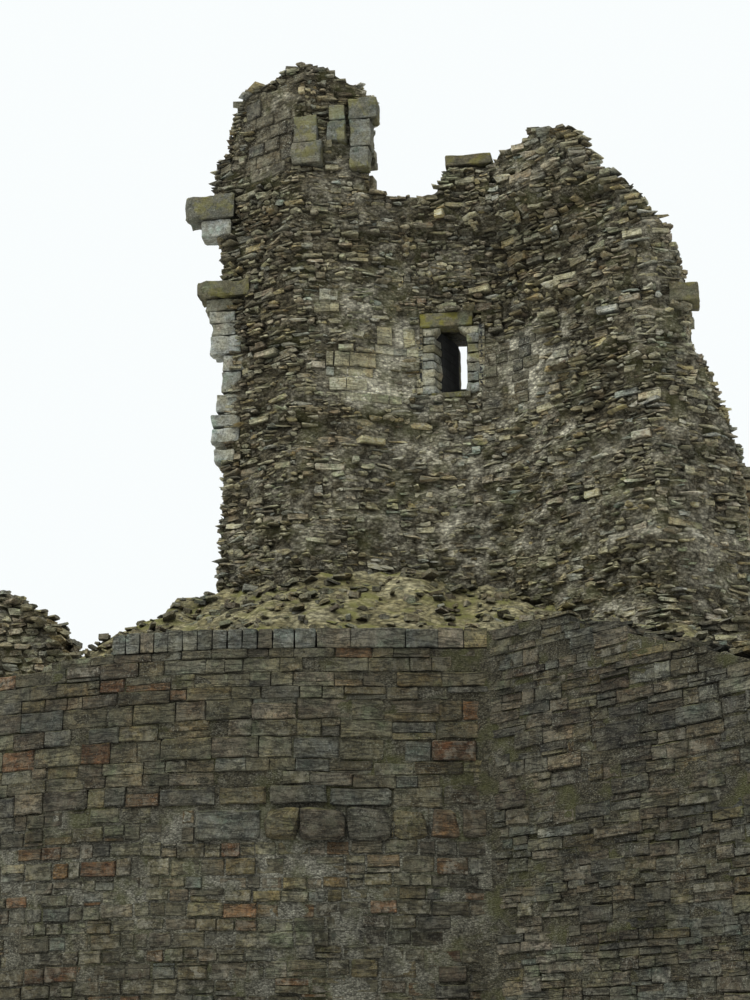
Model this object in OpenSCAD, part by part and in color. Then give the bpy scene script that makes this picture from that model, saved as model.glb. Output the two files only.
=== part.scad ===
// A ruined castle keep.  A round-fronted base stage, filled with fallen
// rubble, carries a tall broken wall with one narrow window.
// Sizes are millimetres, +Z is up and the front looks toward -Y.

/* [Base stage] */
// Height of the front wall below its coping stones
front_h = 9030; // [7000:10:11000]
// Thickness of the walls of the base stage
base_t = 1800; // [1200:50:2400]
// Outer radius of the round front
front_r = 11000; // [9000:100:14000]
// Angle that the round front sweeps through
front_sweep = 50.4; // [40:0.1:60]
// Angle that the straight front is turned from the rear wall
front_skew = 10.4; // [0:0.1:20]
// Length of the straight front beside the inner corner
straight_len = 2920; // [2000:20:4000]
// Length of the spur wall that comes forward on the right
spur_len = 6120; // [4000:20:7000]
// Angle between the spur wall and the rear wall
spur_turn = 36.5; // [20:0.5:50]
// Depth from the rear face to the front of the round part
base_depth = 8560; // [8000:20:11000]

/* [Coping] */
// Height of a coping stone, also of one step in the wall top
coping_h = 350; // [200:10:500]
// Depth of a coping stone from front to back
coping_deep = 520; // [300:10:900]
// How far a coping stone stands proud of the wall
coping_proud = 20; // [0:5:60]
// Open joint between two dressed stones
joint = 8; // [4:1:20]
// Number of narrow upright coping stones
upright_count = 11; // [6:1:16]

// How much lower the far left of the front wall is
top_drop = 180; // [0:10:400]

/* [Tall wall] */
// Height where the tall wall starts, inside the rubble
tower_foot = 9000; // [7000:50:10000]
// Height where the wall head is level
wall_head = 20900; // [18000:50:23000]
// Height of the turret stub over the wall head
turret_h = 3250; // [1500:10:4500]
// Height of the rounded hump over the wall head
hump_h = 900; // [300:20:1500]
// Height of the overhanging beds under the wall head
haunch_h = 800; // [400:20:1500]
// Height of one lift of rubble masonry
lift_h = 600; // [400:50:1500]
// How far the corners of the broken face are rounded in plan
face_round = 300; // [0:20:400]
// How far a lift steps in or out of the broken face
lift_step = 70; // [0:5:150]
// How far one lift is let into the lift below
bed_lap = 20; // [5:5:60]
// How far a lift steps in or out at a broken end
end_step = 110; // [0:5:250]
// How far the turret's right end falls back toward the rear
turret_skew = 400; // [0:20:600]

/* [Rubble heap] */
// Rise of the heap from the front walls to the tall wall
heap_h = 3000; // [1000:50:4000]
// Height of the heap's front edge over the wall tops
heap_edge = 260; // [0:10:500]
// Roughness of the heap
heap_rough = 110; // [0:5:200]

/* [Window] */
// Height of the window sill
sill_z = 16230; // [14000:10:18000]
// Clear height of the window
window_h = 1540; // [900:20:2000]
// Middle of the window across the wall
window_x = 1400; // [1200:10:1700]
// Clear width at the broken inner face
window_w = 720; // [500:10:900]
// Clear width of the slit at the outer face
slit_w = 190; // [150:5:400]
// How far the slit lies right of the window's middle
slit_shift = 120; // [0:10:200]
// Height of the block that closes the foot of the slit
slit_sill_h = 520; // [200:10:800]
// Width of the dressed stones beside the window
jamb_w = 270; // [150:10:400]
// Depth of the dressed stones from the inner face
jamb_deep = 380; // [200:10:500]
// Number of flat stones in the left jamb
left_jamb_stones = 7; // [4:1:9]
// Number of flat stones in the right jamb
right_jamb_stones = 6; // [4:1:9]
// Height of the lintel
lintel_h = 320; // [200:10:400]
// How far the lintel rests on the wall at each side of the window
lintel_bearing = 220; // [120:10:400]

/* [View] */
// Which sub-part is drawn

/* [Hidden] */
rear_y = 5600;
centre = [-2000, rear_y - base_depth + front_r];
arc_steps = 8;
step_angle = front_sweep/arc_steps;
start_angle = front_sweep - front_skew;
// Point on the outer face of the round front
function arc_point(angle) = centre + front_r*[-sin(angle), -cos(angle)];
inner_corner = arc_point(-front_skew) + straight_len*[cos(front_skew), sin(front_skew)];
spur_end = inner_corner + spur_len*[cos(spur_turn), -sin(spur_turn)];
left_x = arc_point(start_angle).x;
right_x = spur_end.x;
outer = concat(
  [[left_x, rear_y]],
  [for (i = [0:arc_steps]) arc_point(start_angle - i*step_angle)],
  [inner_corner, spur_end, [right_x, rear_y]]
);
corner_index = arc_steps + 2;
spur_index = arc_steps + 3;
right_index = arc_steps + 4;
// Unit vector square to the run from a to b, toward the inside
function inward(a, b) = [a.y - b.y, b.x - a.x]/norm(b - a);
// Inside corner of a wall of thickness t where two runs meet at b
function mitre(a, b, c, t) =
  let (n = inward(a, b), m = inward(b, c))
  b + t*(n + m)/(1 + n*m);
inner = [for (i = [0:right_index])
  mitre(outer[(i + right_index)%(right_index + 1)], outer[i], outer[(i + 1)%(right_index + 1)], base_t)];
// A number from -1 to 1 that is the same for the same n
function jitter(n) = let (s = 43758.5453*sin(n*78.233)) 2*(s - floor(s)) - 1;

// Broken inner face of the tall wall in plan, from left to right.  It bulges
// where the side walls broke off and is hollow around the window
face_knots = [
  [-4600, 4500], [-3400, 4000], [-1850, 3250], [-400, 3600], [400, 4100], [2400, 4100],
  [3400, 3500], [5000, 2500], [5800, 2050], [6600, 2600], [7600, 3600]
];
face_sample = 400;
// Distance of the inner face from the plan's front, with its corners rounded
function face_y(x) =
  (lookup(x - face_round, face_knots) + 2*lookup(x, face_knots) + lookup(x + face_round, face_knots))/4;
face_flat_y = face_y(window_x);
// Broken ends of the tall wall: depth under the wall head, then distance
// across
left_end = under_head([
  [11900, -3850], [8200, -3720], [6400, -3700], [4600, -3620], [3700, -3500],
  [2600, -3700], [1200, -3850], [0, -4000]
]);
right_end = under_head([
  [11900, 7600], [9200, 7500], [6700, 7450], [5800, 7150], [4800, 6800], [4400, 6450],
  [3400, 6600], [2700, 6430], [1950, 6180], [1450, 5800], [1000, 5380], [600, 4980], [0, 4600]
]);
function under_head(depths) = [for (p = depths) [wall_head - p[0], p[1]]];
// Broken ends over the wall head: share of the piece's own height, then
// distance across
turret_left = above_head(turret_h, [
  [0, -4050], [0.4, -4080], [0.5, -3750], [0.72, -3640], [0.84, -3480], [0.9, -3300],
  [0.93, -2900], [0.965, -2400], [1, -2150]
]);
turret_right = above_head(turret_h, [
  [0, -350], [0.34, -350], [0.55, -240], [0.69, -180], [0.77, -360], [0.84, -590],
  [0.905, -1030], [0.97, -1440], [1, -1600]
]);
hump_left = above_head(hump_h, [[0, 2420], [0.8, 2430], [0.93, 2700], [1, 3100]]);
hump_right = above_head(hump_h, [[0, 4600], [0.35, 4480], [0.7, 4330], [0.9, 4080], [1, 3800]]);
function above_head(h, shares) = [for (p = shares) [wall_head + p[0]*h, p[1]]];
window_head = sill_z + window_h;
head_z = wall_head - haunch_h;
bay_a = -2400;
bay_b = -600;
bay_c = window_x - window_w/2 - jamb_w - 70;
bay_d = window_x + window_w/2 + jamb_w + 70;
bay_e = 3800;
bay_f = 5200;

// Moves the plan so that its middle stands over the origin
module placed() {
  translate([-(left_x + right_x)/2, -(spur_end.y + rear_y)/2, 0])
    children();
}

// One run of base wall between two corners of the plan
module wall_run(first, last, h) {
  placed()
    linear_extrude(h)
      polygon(concat(
        [for (i = [first:last]) outer[i]],
        [for (i = [last:-1:first]) inner[i]]
      ));
}

// Puts a stone at the outer face of the round front
module on_round_front(angle) {
  placed()
    translate(concat(centre, [0]))
      rotate([0, 0, -angle])
        translate([0, -front_r, 0])
          children();
}

module front_left() {
  color("#6b665a")
    wall_run(1, 5, front_h - top_drop);
}
module front_step() {
  color("#6b665a")
    wall_run(5, 6, front_h);
}
module front_middle() {
  color("#6b665a")
    wall_run(6, 1 + arc_steps, front_h);
}
module front_straight() {
  color("#6b665a")
    wall_run(1 + arc_steps, corner_index, front_h);
}

// Point along the spur, as a share of its length, on the outer or inner face
function spur_point(share, face) = face[corner_index] + share*(face[spur_index] - face[corner_index]);
spur_low = 7700;
spur_courses = 6;
module spur_wall() {
  course = (front_h + coping_h - spur_low)/spur_courses;
  color("#57544b")
    placed() {
      linear_extrude(spur_low)
        polygon([outer[corner_index], outer[spur_index], inner[spur_index], inner[corner_index]]);
      for (i = [0:spur_courses - 1]) {
        share = 0.94 - 0.13*i + 0.02*jitter(i);
        translate([0, 0, spur_low + i*course - bed_lap])
          linear_extrude(course + bed_lap)
            polygon([outer[corner_index], spur_point(share, outer), spur_point(share, inner),
              inner[corner_index]]);
      }
    }
}
module left_side() {
  color("#625d50")
    wall_run(0, 1, tower_foot);
}
module right_side() {
  a = outer[spur_index];
  b = outer[right_index];
  color("#57544b")
    placed() {
      linear_extrude(spur_low)
        polygon([a, b, inner[right_index], inner[spur_index]]);
      for (i = [0:3]) {
        back = -1600 + 600*i;
        translate([0, 0, spur_low + i*(tower_foot - spur_low)/4 - bed_lap])
          linear_extrude((tower_foot - spur_low)/4 + bed_lap)
            polygon([[right_x, back], b, inner[right_index], [right_x - base_t, back]]);
      }
    }
}

// Part of the rear base wall between two distances across
module rear_run(x_from, x_to, h) {
  placed()
    linear_extrude(h)
      polygon([[x_from, rear_y], [x_from, rear_y - base_t], [x_to, rear_y - base_t], [x_to, rear_y]]);
}
module rear_left() {
  a = outer[0];
  color("#625d50")
    placed()
      linear_extrude(tower_foot)
        polygon([a, inner[0], [left_end[0].y, rear_y - base_t], [left_end[0].y, rear_y]]);
}
module rear_middle() {
  color("#625d50")
    rear_run(left_end[0].y, bay_e, tower_foot);
}
module rear_right() {
  color("#625d50")
    placed()
      linear_extrude(tower_foot)
        polygon([[bay_e, rear_y], [bay_e, rear_y - base_t], inner[right_index], outer[right_index]]);
}
module rubble_fill() {
  color("#5d5a4c")
    placed()
      linear_extrude(tower_foot)
        polygon(inner);
}

// Heap of fallen rubble between the front walls and the tall wall
heap_cols = 22;
heap_rows = 8;
heap_left = inner[0].x + 20;
heap_right = inner[right_index].x - 20;
heap_step = (heap_right - heap_left)/heap_cols;
heap_limit = 3750;
heap_face_gap = 120;
// Share of the full height of the heap, from left to right
heap_sides = [
  [-7300, 0.15], [-6300, 0.42], [-5300, 0.76], [-4300, 0.84], [-3200, 0.87], [-2100, 0.89],
  [-1100, 0.94], [0, 0.97], [900, 0.93], [1950, 0.84], [2700, 0.76], [3600, 0.62], [4500, 0.47],
  [5000, 0.4], [6000, 0.3]
];
function heap_front(x) = lookup(x, [for (i = [1:spur_index]) inner[i]]) + 150;
function heap_back(x) =
  x > foot_left - heap_step ? foot_front - 50 : min(heap_limit, face_y(x) - heap_face_gap);
function heap_x(i) = heap_left + heap_step*i;
// Share of the rise at the share t of the way back.  Beside the tall wall's
// left end the heap falls away again behind its crest
heap_crest = 0.75;
function heap_rise(x, t) =
  x > left_end[0].y - heap_step || t < heap_crest ? pow(t, 1.1)
  : pow(heap_crest, 1.1) - 0.55*(t - heap_crest)/(1 - heap_crest);
function heap_y(i, j) = heap_front(heap_x(i)) + (heap_back(heap_x(i)) - heap_front(heap_x(i)))*j/heap_rows;
function heap_z(i, j) =
  tower_foot + heap_edge + heap_h*heap_rise(heap_x(i), j/heap_rows)*lookup(heap_x(i), heap_sides)
  + heap_rough*jitter(31*i + 17*j);
function heap_at(i, j) = j*(heap_cols + 1) + i;
// Upright side face of the heap under its edge from a to b
function heap_side(a, b, n) = [a, b, n + b, n + a];
module rubble_mound() {
  top = [for (j = [0:heap_rows]) for (i = [0:heap_cols]) [heap_x(i), heap_y(i, j), heap_z(i, j)]];
  low = [for (p = top) [p.x, p.y, tower_foot]];
  n = len(top);
  color("#6a6650")
    placed()
      polyhedron(
        points = concat(top, low),
        faces = concat(
          [for (j = [0:heap_rows - 1]) for (i = [0:heap_cols - 1])
            [heap_at(i, j), heap_at(i, j + 1), heap_at(i + 1, j)]],
          [for (j = [0:heap_rows - 1]) for (i = [0:heap_cols - 1])
            [heap_at(i + 1, j), heap_at(i, j + 1), heap_at(i + 1, j + 1)]],
          [for (j = [0:heap_rows - 1]) for (i = [0:heap_cols - 1])
            let (a = n + heap_at(i, j), b = n + heap_at(i, j + 1)) [a, a + 1, b + 1, b]],
          [for (i = [0:heap_cols - 1]) heap_side(heap_at(i, 0), heap_at(i + 1, 0), n)],
          [for (i = [0:heap_cols - 1]) heap_side(heap_at(i + 1, heap_rows), heap_at(i, heap_rows), n)],
          [for (j = [0:heap_rows - 1]) heap_side(heap_at(0, j + 1), heap_at(0, j), n)],
          [for (j = [0:heap_rows - 1]) heap_side(heap_at(heap_cols, j), heap_at(heap_cols, j + 1), n)]
        )
      );
}

upright_start = start_angle - 5*step_angle;
upright_pitch = 15/upright_count;
module coping_uprights() {
  w = (front_r - coping_deep)*upright_pitch*PI/180;
  color("#7d7a6e")
    for (i = [0:upright_count - 1])
      on_round_front(upright_start - (i + 0.5)*upright_pitch)
        translate([-w/2, -coping_proud, front_h])
          cube([w - joint, coping_deep, coping_h + 12*jitter(i)]);
}

// Shares of the straight front taken by the long coping stones
long_shares = [0.2, 0.32, 0.19, 0.15, 0.14];
function share_before(i) = i == 0 ? 0 : long_shares[i - 1] + share_before(i - 1);
module coping_long() {
  short_start = upright_start - upright_count*upright_pitch;
  short_pitch = (front_skew + short_start)/2;
  w = (front_r - coping_deep)*short_pitch*PI/180;
  color("#7d7a6e")
    for (i = [0:1])
      on_round_front(short_start - (i + 0.5)*short_pitch)
        translate([-w/2, -coping_proud, front_h])
          cube([w - joint, coping_deep, coping_h - 15]);
  color("#7d7a6e")
    placed()
      translate(concat(arc_point(-front_skew), [0]))
        rotate([0, 0, front_skew])
          for (i = [0:len(long_shares) - 1])
            translate([straight_len*share_before(i), -coping_proud, front_h])
              cube([straight_len*long_shares[i] - joint, coping_deep, coping_h - 20 + 20*jitter(i + 50)]);
}

// Plan of the tall wall between two distances across, moved forward by s.
// Its right end falls back by skew toward the rear
function plan_slice(xl, xr, s, skew) = concat(
  [[xl, rear_y], [xl, face_y(xl) - s]],
  [for (i = [ceil(xl/face_sample):floor(xr/face_sample)])
    let (x = i*face_sample)
      if (x > xl + 60 && x < xr - 60)
        [x, face_y(x) - s]],
  [[xr, face_y(xr) - s], [xr - skew, rear_y]]
);
// A straight end for rubble_lifts
function straight(x) = [[0, x], [1, x]];
// A piece of tall wall.  Its lifts lie on the same levels as those of its
// neighbours, each one let into the lift below
module rubble_lifts(
  z_from, z_to, left_at, right_at, rag_left, rag_right, forward, lift, skew = 0
) {
  first = floor((z_from - tower_foot)/lift + 0.001);
  last = ceil((z_to - tower_foot)/lift - 0.001) - 1;
  placed()
    for (k = [first:last]) {
      z_low = max(z_from, tower_foot + k*lift - bed_lap);
      z_high = min(z_to, tower_foot + (k + 1)*lift);
      z_mid = (z_low + z_high)/2;
      xl = lookup(z_mid, left_at) + rag_left*jitter(3*k + 1);
      xr = lookup(z_mid, right_at) + rag_right*jitter(3*k + 2);
      translate([0, 0, z_low])
        linear_extrude(z_high - z_low)
          polygon(plan_slice(xl, xr, forward + lift_step*jitter(k), skew));
    }
}

module tower_left() {
  color("#5f5a4d")
    difference() {
      rubble_lifts(tower_foot, wall_head, left_end, straight(bay_a), end_step, 0, 0, lift_h/2);
      quoins();
      corbel_upper();
      corbel_lower();
    }
}
module tower_mid_left() {
  color("#5f5a4d")
    rubble_lifts(tower_foot, wall_head, straight(bay_a), straight(bay_b), 0, 0, 0, lift_h);
}
module left_bay() {
  color("#6a6556")
    rubble_lifts(tower_foot, head_z, straight(bay_b), straight(bay_c), 0, 0, 0, lift_h);
}
module below_window() {
  color("#6a6556")
    difference() {
      rubble_lifts(tower_foot, sill_z, straight(bay_c), straight(bay_d), 0, 0, 0, lift_h);
      window_sill();
    }
}
module above_window() {
  color("#6a6556")
    difference() {
      rubble_lifts(window_head, head_z, straight(bay_c), straight(bay_d), 0, 0, 0, lift_h);
      window_lintel();
      window_soffit();
      soffit_gap();
    }
}
module right_bay() {
  color("#5f5a4d")
    rubble_lifts(tower_foot, head_z, straight(bay_d), straight(bay_e), 0, 0, 0, lift_h);
}
module tower_mid_right() {
  color("#5f5a4d")
    rubble_lifts(tower_foot, head_z, straight(bay_e), straight(bay_f), 0, 0, 0, lift_h);
}
module tower_right() {
  color("#5a564a")
    difference() {
      rubble_lifts(tower_foot, head_z, straight(bay_f), right_end, 0, end_step, 0, lift_h/2);
      right_block();
    }
}
// Broken foot of the side wall in front of the tall wall's right end
foot_left = 5400;
foot_right = 7600;
foot_front = 450;
foot_back = 2000;
foot_steps = 3;
foot_step_h = 420;
module right_foot() {
  color("#5a564a")
    placed()
      for (i = [0:foot_steps - 1]) {
        lap = i == 0 ? 0 : bed_lap;
        front = foot_front + 400*i;
        translate([0, 0, tower_foot + i*foot_step_h - lap])
          linear_extrude(foot_step_h + lap)
            polygon([[foot_left + 150*i, foot_back], [foot_left + 100 + 200*i, front + 50],
              [foot_right - 100 - 60*i, front], [foot_right - 60*i, foot_back]]);
      }
}
haunch_x = 1200;
haunch_proud_left = 170;
haunch_proud_right = 330;
module haunch_left() {
  color("#57523f")
    rubble_lifts(head_z, wall_head, straight(bay_b), straight(haunch_x), 0, 0, haunch_proud_left, lift_h/2);
}
module haunch_right() {
  color("#57523f")
    rubble_lifts(head_z, wall_head, straight(haunch_x), right_end, 0, end_step, haunch_proud_right, lift_h/2);
}
module turret() {
  color("#66614f")
    difference() {
      rubble_lifts(wall_head, wall_head + turret_h, turret_left, turret_right,
        end_step, 0.4*end_step, 0, lift_h/2, turret_skew);
      turret_jambs();
      corbel_upper();
    }
}
slab_x = [1400, 2420];
slab_z = wall_head + 660;
slab_h = 250;
slab_deep = 1100;
module notch_rubble() {
  color("#5f5a4d")
    rubble_lifts(wall_head, slab_z, [[wall_head, slab_x[0] - 300], [slab_z, slab_x[0]]],
      straight(slab_x[1]), 0, 0, haunch_proud_left, lift_h/2);
}
module wall_head_slab() {
  color("#7a7767")
    placed()
      translate([slab_x[0] - 30, face_y(slab_x[0]) - haunch_proud_left - 50, slab_z])
        cube([slab_x[1] - slab_x[0], slab_deep, slab_h]);
}
hump_proud = 220;
module right_hump() {
  color("#5f5a4d")
    rubble_lifts(wall_head, wall_head + hump_h, hump_left, hump_right, 0, end_step/2, hump_proud, lift_h/3);
}

jamb_left_x = window_x - window_w/2;
jamb_right_x = window_x + window_w/2;
slit_deep = 350;
slit_y = rear_y - slit_deep;
slit_side = 300;
shoulder_h = 190;
shoulder_reach_left = 140;
shoulder_reach_right = 220;
soffit_rise = 120;
lintel_shift = 90;
slit_x = window_x + slit_shift;
// Sides of the passage narrow from the window to the slit
function splay(x, slit_edge, y) = x + (slit_edge - x)*(y - face_flat_y)/(slit_y - face_flat_y);
function splay_left(y) = splay(jamb_left_x, slit_x - slit_w/2, y);
function splay_right(y) = splay(jamb_right_x, slit_x + slit_w/2, y);
jamb_back_y = face_flat_y + jamb_deep;
module window_cheek_left() {
  color("#6a6556")
    placed()
      translate([0, 0, sill_z])
        linear_extrude(window_h)
          polygon([
            [bay_c, rear_y], [bay_c, face_flat_y], [jamb_left_x - jamb_w, face_flat_y],
            [jamb_left_x - jamb_w, jamb_back_y], [splay_left(jamb_back_y), jamb_back_y],
            [splay_left(slit_y), slit_y], [splay_left(slit_y) - slit_side, slit_y],
            [splay_left(slit_y) - slit_side, rear_y]
          ]);
}
module window_cheek_right() {
  color("#6a6556")
    placed()
      translate([0, 0, sill_z])
        linear_extrude(window_h)
          polygon([
            [bay_d, face_flat_y], [bay_d, rear_y], [splay_right(slit_y) + slit_side, rear_y],
            [splay_right(slit_y) + slit_side, slit_y], [splay_right(slit_y), slit_y],
            [splay_right(jamb_back_y), jamb_back_y], [jamb_right_x + jamb_w, jamb_back_y],
            [jamb_right_x + jamb_w, face_flat_y]
          ]);
}
module window_lintel() {
  color("#8a876f")
    placed()
      translate([jamb_left_x - lintel_bearing - lintel_shift, face_flat_y - 40, window_head])
        cube([window_w + 2*lintel_bearing, jamb_deep + 40, lintel_h]);
}
soffit_slabs = 3;
module window_soffit() {
  deep = (rear_y - jamb_back_y)/soffit_slabs;
  color("#6f6c5e")
    placed()
      for (i = [0:soffit_slabs - 1])
        translate([jamb_left_x - 150, jamb_back_y + i*deep, window_head + soffit_rise])
          cube([window_w + 300, deep - joint, 180]);
}
// Clear space over the passage, between the cheeks and under the soffit
module soffit_gap() {
  placed()
    translate([0, 0, window_head - 1])
      linear_extrude(soffit_rise + 1)
        polygon([
          [splay_left(jamb_back_y), jamb_back_y - 1], [splay_right(jamb_back_y), jamb_back_y - 1],
          [splay_right(slit_y), slit_y], [splay_right(slit_y), rear_y + 1],
          [splay_left(slit_y), rear_y + 1], [splay_left(slit_y), slit_y]
        ]);
}
module window_shoulders() {
  z = window_head - shoulder_h;
  color("#7f7d70")
    placed() {
      translate([0, jamb_back_y, z])
        rotate([90, 0, 0])
          linear_extrude(jamb_deep)
            polygon([[jamb_left_x - jamb_w, 0], [jamb_left_x, 0],
              [jamb_left_x + shoulder_reach_left, shoulder_h], [jamb_left_x - jamb_w, shoulder_h]]);
      translate([0, jamb_back_y, z])
        rotate([90, 0, 0])
          linear_extrude(jamb_deep)
            polygon([[jamb_right_x, 0], [jamb_right_x + jamb_w, 0], [jamb_right_x + jamb_w, shoulder_h],
              [jamb_right_x - shoulder_reach_right, shoulder_h]]);
    }
}
// One pile of flat dressed stones beside the window
module jamb_pile(x_out, x_face, x_back, count) {
  h = (window_h - shoulder_h)/count;
  placed()
    for (i = [0:count - 1]) {
      front = face_flat_y - 12*(i%2);
      translate([0, 0, sill_z + i*h])
        linear_extrude(h - joint)
          polygon([[x_out, front], [x_face, front], [x_back, jamb_back_y], [x_out, jamb_back_y]]);
    }
}
module window_jamb_left() {
  color("#8b8b84")
    jamb_pile(jamb_left_x - jamb_w, jamb_left_x, splay_left(jamb_back_y), left_jamb_stones);
}
module window_jamb_right() {
  color("#8b8b84")
    jamb_pile(jamb_right_x + jamb_w, jamb_right_x, splay_right(jamb_back_y), right_jamb_stones);
}
module window_sill() {
  color("#7f7d70")
    placed()
      translate([jamb_left_x - 60, face_flat_y - 20, sill_z - 120])
        cube([window_w + 120, 900, 120]);
}
module slit_stones() {
  count = 3;
  h = window_h/count;
  color("#8b8b84")
    placed()
      for (i = [0:count - 1])
        translate([0, slit_y, sill_z + i*h]) {
          translate([splay_left(slit_y) - slit_side, 0, 0])
            cube([slit_side, slit_deep, h - joint]);
          translate([splay_right(slit_y), 0, 0])
            cube([slit_side, slit_deep, h - joint]);
        }
}
module slit_sill() {
  color("#7f7d70")
    placed()
      translate([splay_left(slit_y), slit_y + 10, sill_z])
        cube([slit_w, slit_deep - 20, slit_sill_h]);
}

// Dressed stones at the left end: bottom, top, left side and length
quoin_stones = [
  [20380, 20780, -4280, 700], [18520, 18810, -4120, 650], [18215, 18500, -4020, 600],
  [17915, 18195, -3950, 560], [17470, 17895, -3970, 700], [17060, 17440, -3680, 600],
  [16555, 17030, -3700, 450], [16100, 16505, -3800, 500], [15750, 16020, -3900, 650],
  [15395, 15720, -3900, 650], [14945, 15215, -3820, 450]
];
quoin_y = 4020;
quoin_deep = 520;
module quoins() {
  color("#8a8f93")
    placed()
      for (q = quoin_stones)
        translate([q[2], quoin_y, q[0]])
          cube([q[3], quoin_deep, q[1] - q[0]]);
}
block_deep = 620;
module corbel_upper() {
  color("#7c7f7e")
    placed()
      translate([-4640, 3950, wall_head - 110])
        cube([1150, block_deep, 590]);
}
module corbel_lower() {
  color("#7c7f7e")
    placed()
      translate([-4290, 3900, 18820])
        cube([1200, block_deep, 390]);
}
module right_block() {
  color("#807a66")
    placed()
      translate([6150, 2350, wall_head - 3700])
        cube([610, block_deep, 430]);
}
// Dressed stones in the turret: left side, front and height over the wall
// head, then width, depth and height of the stone
turret_stones = [
  [-2000, 3190, 680, 660, 480, 520], [-1960, 3200, 1208, 530, 470, 660],
  [-1220, 3330, 1260, 410, 420, 480], [-1200, 3340, 1770, 370, 420, 380],
  [-730, 3430, 600, 430, 420, 505], [-730, 3440, 1115, 480, 420, 680],
  [-760, 3420, 1805, 640, 480, 500]
];
module turret_jambs() {
  color("#9a9d9c")
    placed()
      for (t = turret_stones)
        translate([t[0], t[1], wall_head + t[2]])
          cube([t[3], t[4], t[5]]);
}

// Wall stump at the far left, and how far across it reaches at each height
stub_top = 12250;
stub_right = [
  [9000, -6700], [10700, -7080], [11250, -7300], [11700, -7700], [12050, -8200], [stub_top, -8500]
];
module far_left_stub() {
  n = 6;
  h = (stub_top - tower_foot)/n;
  color("#6b6048")
    placed()
      for (i = [0:n - 1]) {
        z = tower_foot + i*h;
        lap = i == 0 ? 0 : bed_lap;
        x = lookup(z + h/2, stub_right);
        translate([0, 0, z - lap])
          linear_extrude(h + lap)
            polygon([[left_x, rear_y], [left_x + 30*i, 3850 + 60*jitter(i + 90)],
              [x + 60*jitter(i + 95), 3900 + 80*i], [x, rear_y]]);
      }
}

front_left();
front_step();
front_middle();
front_straight();
spur_wall();
left_side();
right_side();
rear_left();
rear_middle();
rear_right();
rubble_fill();
rubble_mound();
coping_uprights();
coping_long();
tower_left();
tower_mid_left();
left_bay();
below_window();
above_window();
window_cheek_left();
window_cheek_right();
right_bay();
tower_mid_right();
tower_right();
right_foot();
haunch_left();
haunch_right();
turret();
notch_rubble();
wall_head_slab();
right_hump();
window_lintel();
window_soffit();
window_shoulders();
window_jamb_left();
window_jamb_right();
window_sill();
slit_stones();
slit_sill();
quoins();
corbel_upper();
corbel_lower();
right_block();
turret_jambs();
far_left_stub();
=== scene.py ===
# %% [markdown]
# # A ruined castle keep
# The real thing is what is left of a keep. A base stage about nine metres
# high has a round front and a spur wall, and fallen rubble fills it. Behind
# stands one tall wall that has lost its neighbours: its core of thin flat
# stones is bare, and one narrow window is left in it. The CAD model gives
# every mass its place. This script lays the masonry, stone by stone.

# %% Load the frame
import math
import random
import bmesh
import bpy
import numpy as np
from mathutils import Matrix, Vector, noise


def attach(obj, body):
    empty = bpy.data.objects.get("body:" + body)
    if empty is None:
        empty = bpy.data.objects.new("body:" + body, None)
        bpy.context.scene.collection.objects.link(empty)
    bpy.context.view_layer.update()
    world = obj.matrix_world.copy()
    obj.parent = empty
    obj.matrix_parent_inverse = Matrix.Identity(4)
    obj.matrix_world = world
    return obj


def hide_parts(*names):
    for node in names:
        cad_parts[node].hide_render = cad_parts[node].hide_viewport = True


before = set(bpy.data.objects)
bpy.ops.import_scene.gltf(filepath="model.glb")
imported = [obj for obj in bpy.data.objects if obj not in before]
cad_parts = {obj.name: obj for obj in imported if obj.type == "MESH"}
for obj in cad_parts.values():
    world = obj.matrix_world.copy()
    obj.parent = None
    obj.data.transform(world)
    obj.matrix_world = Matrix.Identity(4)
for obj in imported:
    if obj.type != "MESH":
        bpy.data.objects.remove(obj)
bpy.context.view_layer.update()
BODY = "root"

# %% [markdown]
# ## Nodes in one line each
# The world, the finishes and the Geometry Nodes trees are all built from
# nodes. Two small helpers write a node, its settings and all that feeds it
# in one line.


# %% Helpers for node trees of every kind
def plug(tree, socket, value):
    """A socket gets either a plain value or a link from another socket"""
    if isinstance(value, bpy.types.NodeSocket):
        tree.links.new(value, socket)
    else:
        socket.default_value = value


def add_node(tree, kind, sockets=None, **settings):
    made = tree.nodes.new(kind)
    for key, value in settings.items():
        setattr(made, key, value)
    for key, value in (sockets or {}).items():
        plug(tree, made.inputs[key], value)
    return made


# %% [markdown]
# ## Camera, light and floor
# The photograph was taken from eye height with a long lens, tilted up. The
# same camera is set here first. An overcast sky lights the real wall, so a
# broad lamp stands in for the bright upper sky, and the world lights the rest
# evenly. The floor is a plain pale plane that only catches the shadow.


# %% Camera
scene = bpy.context.scene
camera = bpy.data.objects.new("camera", bpy.data.cameras.new("camera"))
scene.collection.objects.link(camera)
camera.location = (7.2067, -32.9438, 1.6)
camera.rotation_euler = (math.radians(108), 0, math.radians(10.4))
camera.data.lens = 67.18
camera.data.sensor_width = 36
camera.data.clip_end = 400
scene.camera = camera
print("camera lens", round(camera.data.lens, 2), "mm, height over the floor", round(camera.location.z, 2), "m")

# %% [markdown]
# The sky that lights the wall and the sky that the camera sees are two
# colours of one world. Light Path tells them apart: straight looks and
# mirror images get the pale backdrop, everything else the softer light.

# %% Sky
scene.view_settings.view_transform = "Standard"


def lamp(name, towards, strength, spread, colour):
    """A broad far lamp whose light runs in the direction towards"""
    light = bpy.data.lights.new(name, "SUN")
    light.energy = strength
    light.angle = math.radians(spread)
    light.color = colour
    holder = bpy.data.objects.new(name, light)
    scene.collection.objects.link(holder)
    holder.rotation_euler = Vector(towards).to_track_quat("-Z", "Y").to_euler()


lamp("upper_sky", (0.22, 0.42, -1), 3.75, 62, (0.975, 1, 0.955))
lamp("behind_sky", (-0.3, -0.7, -0.9), 0.7, 90, (0.97, 0.99, 1))

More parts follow.
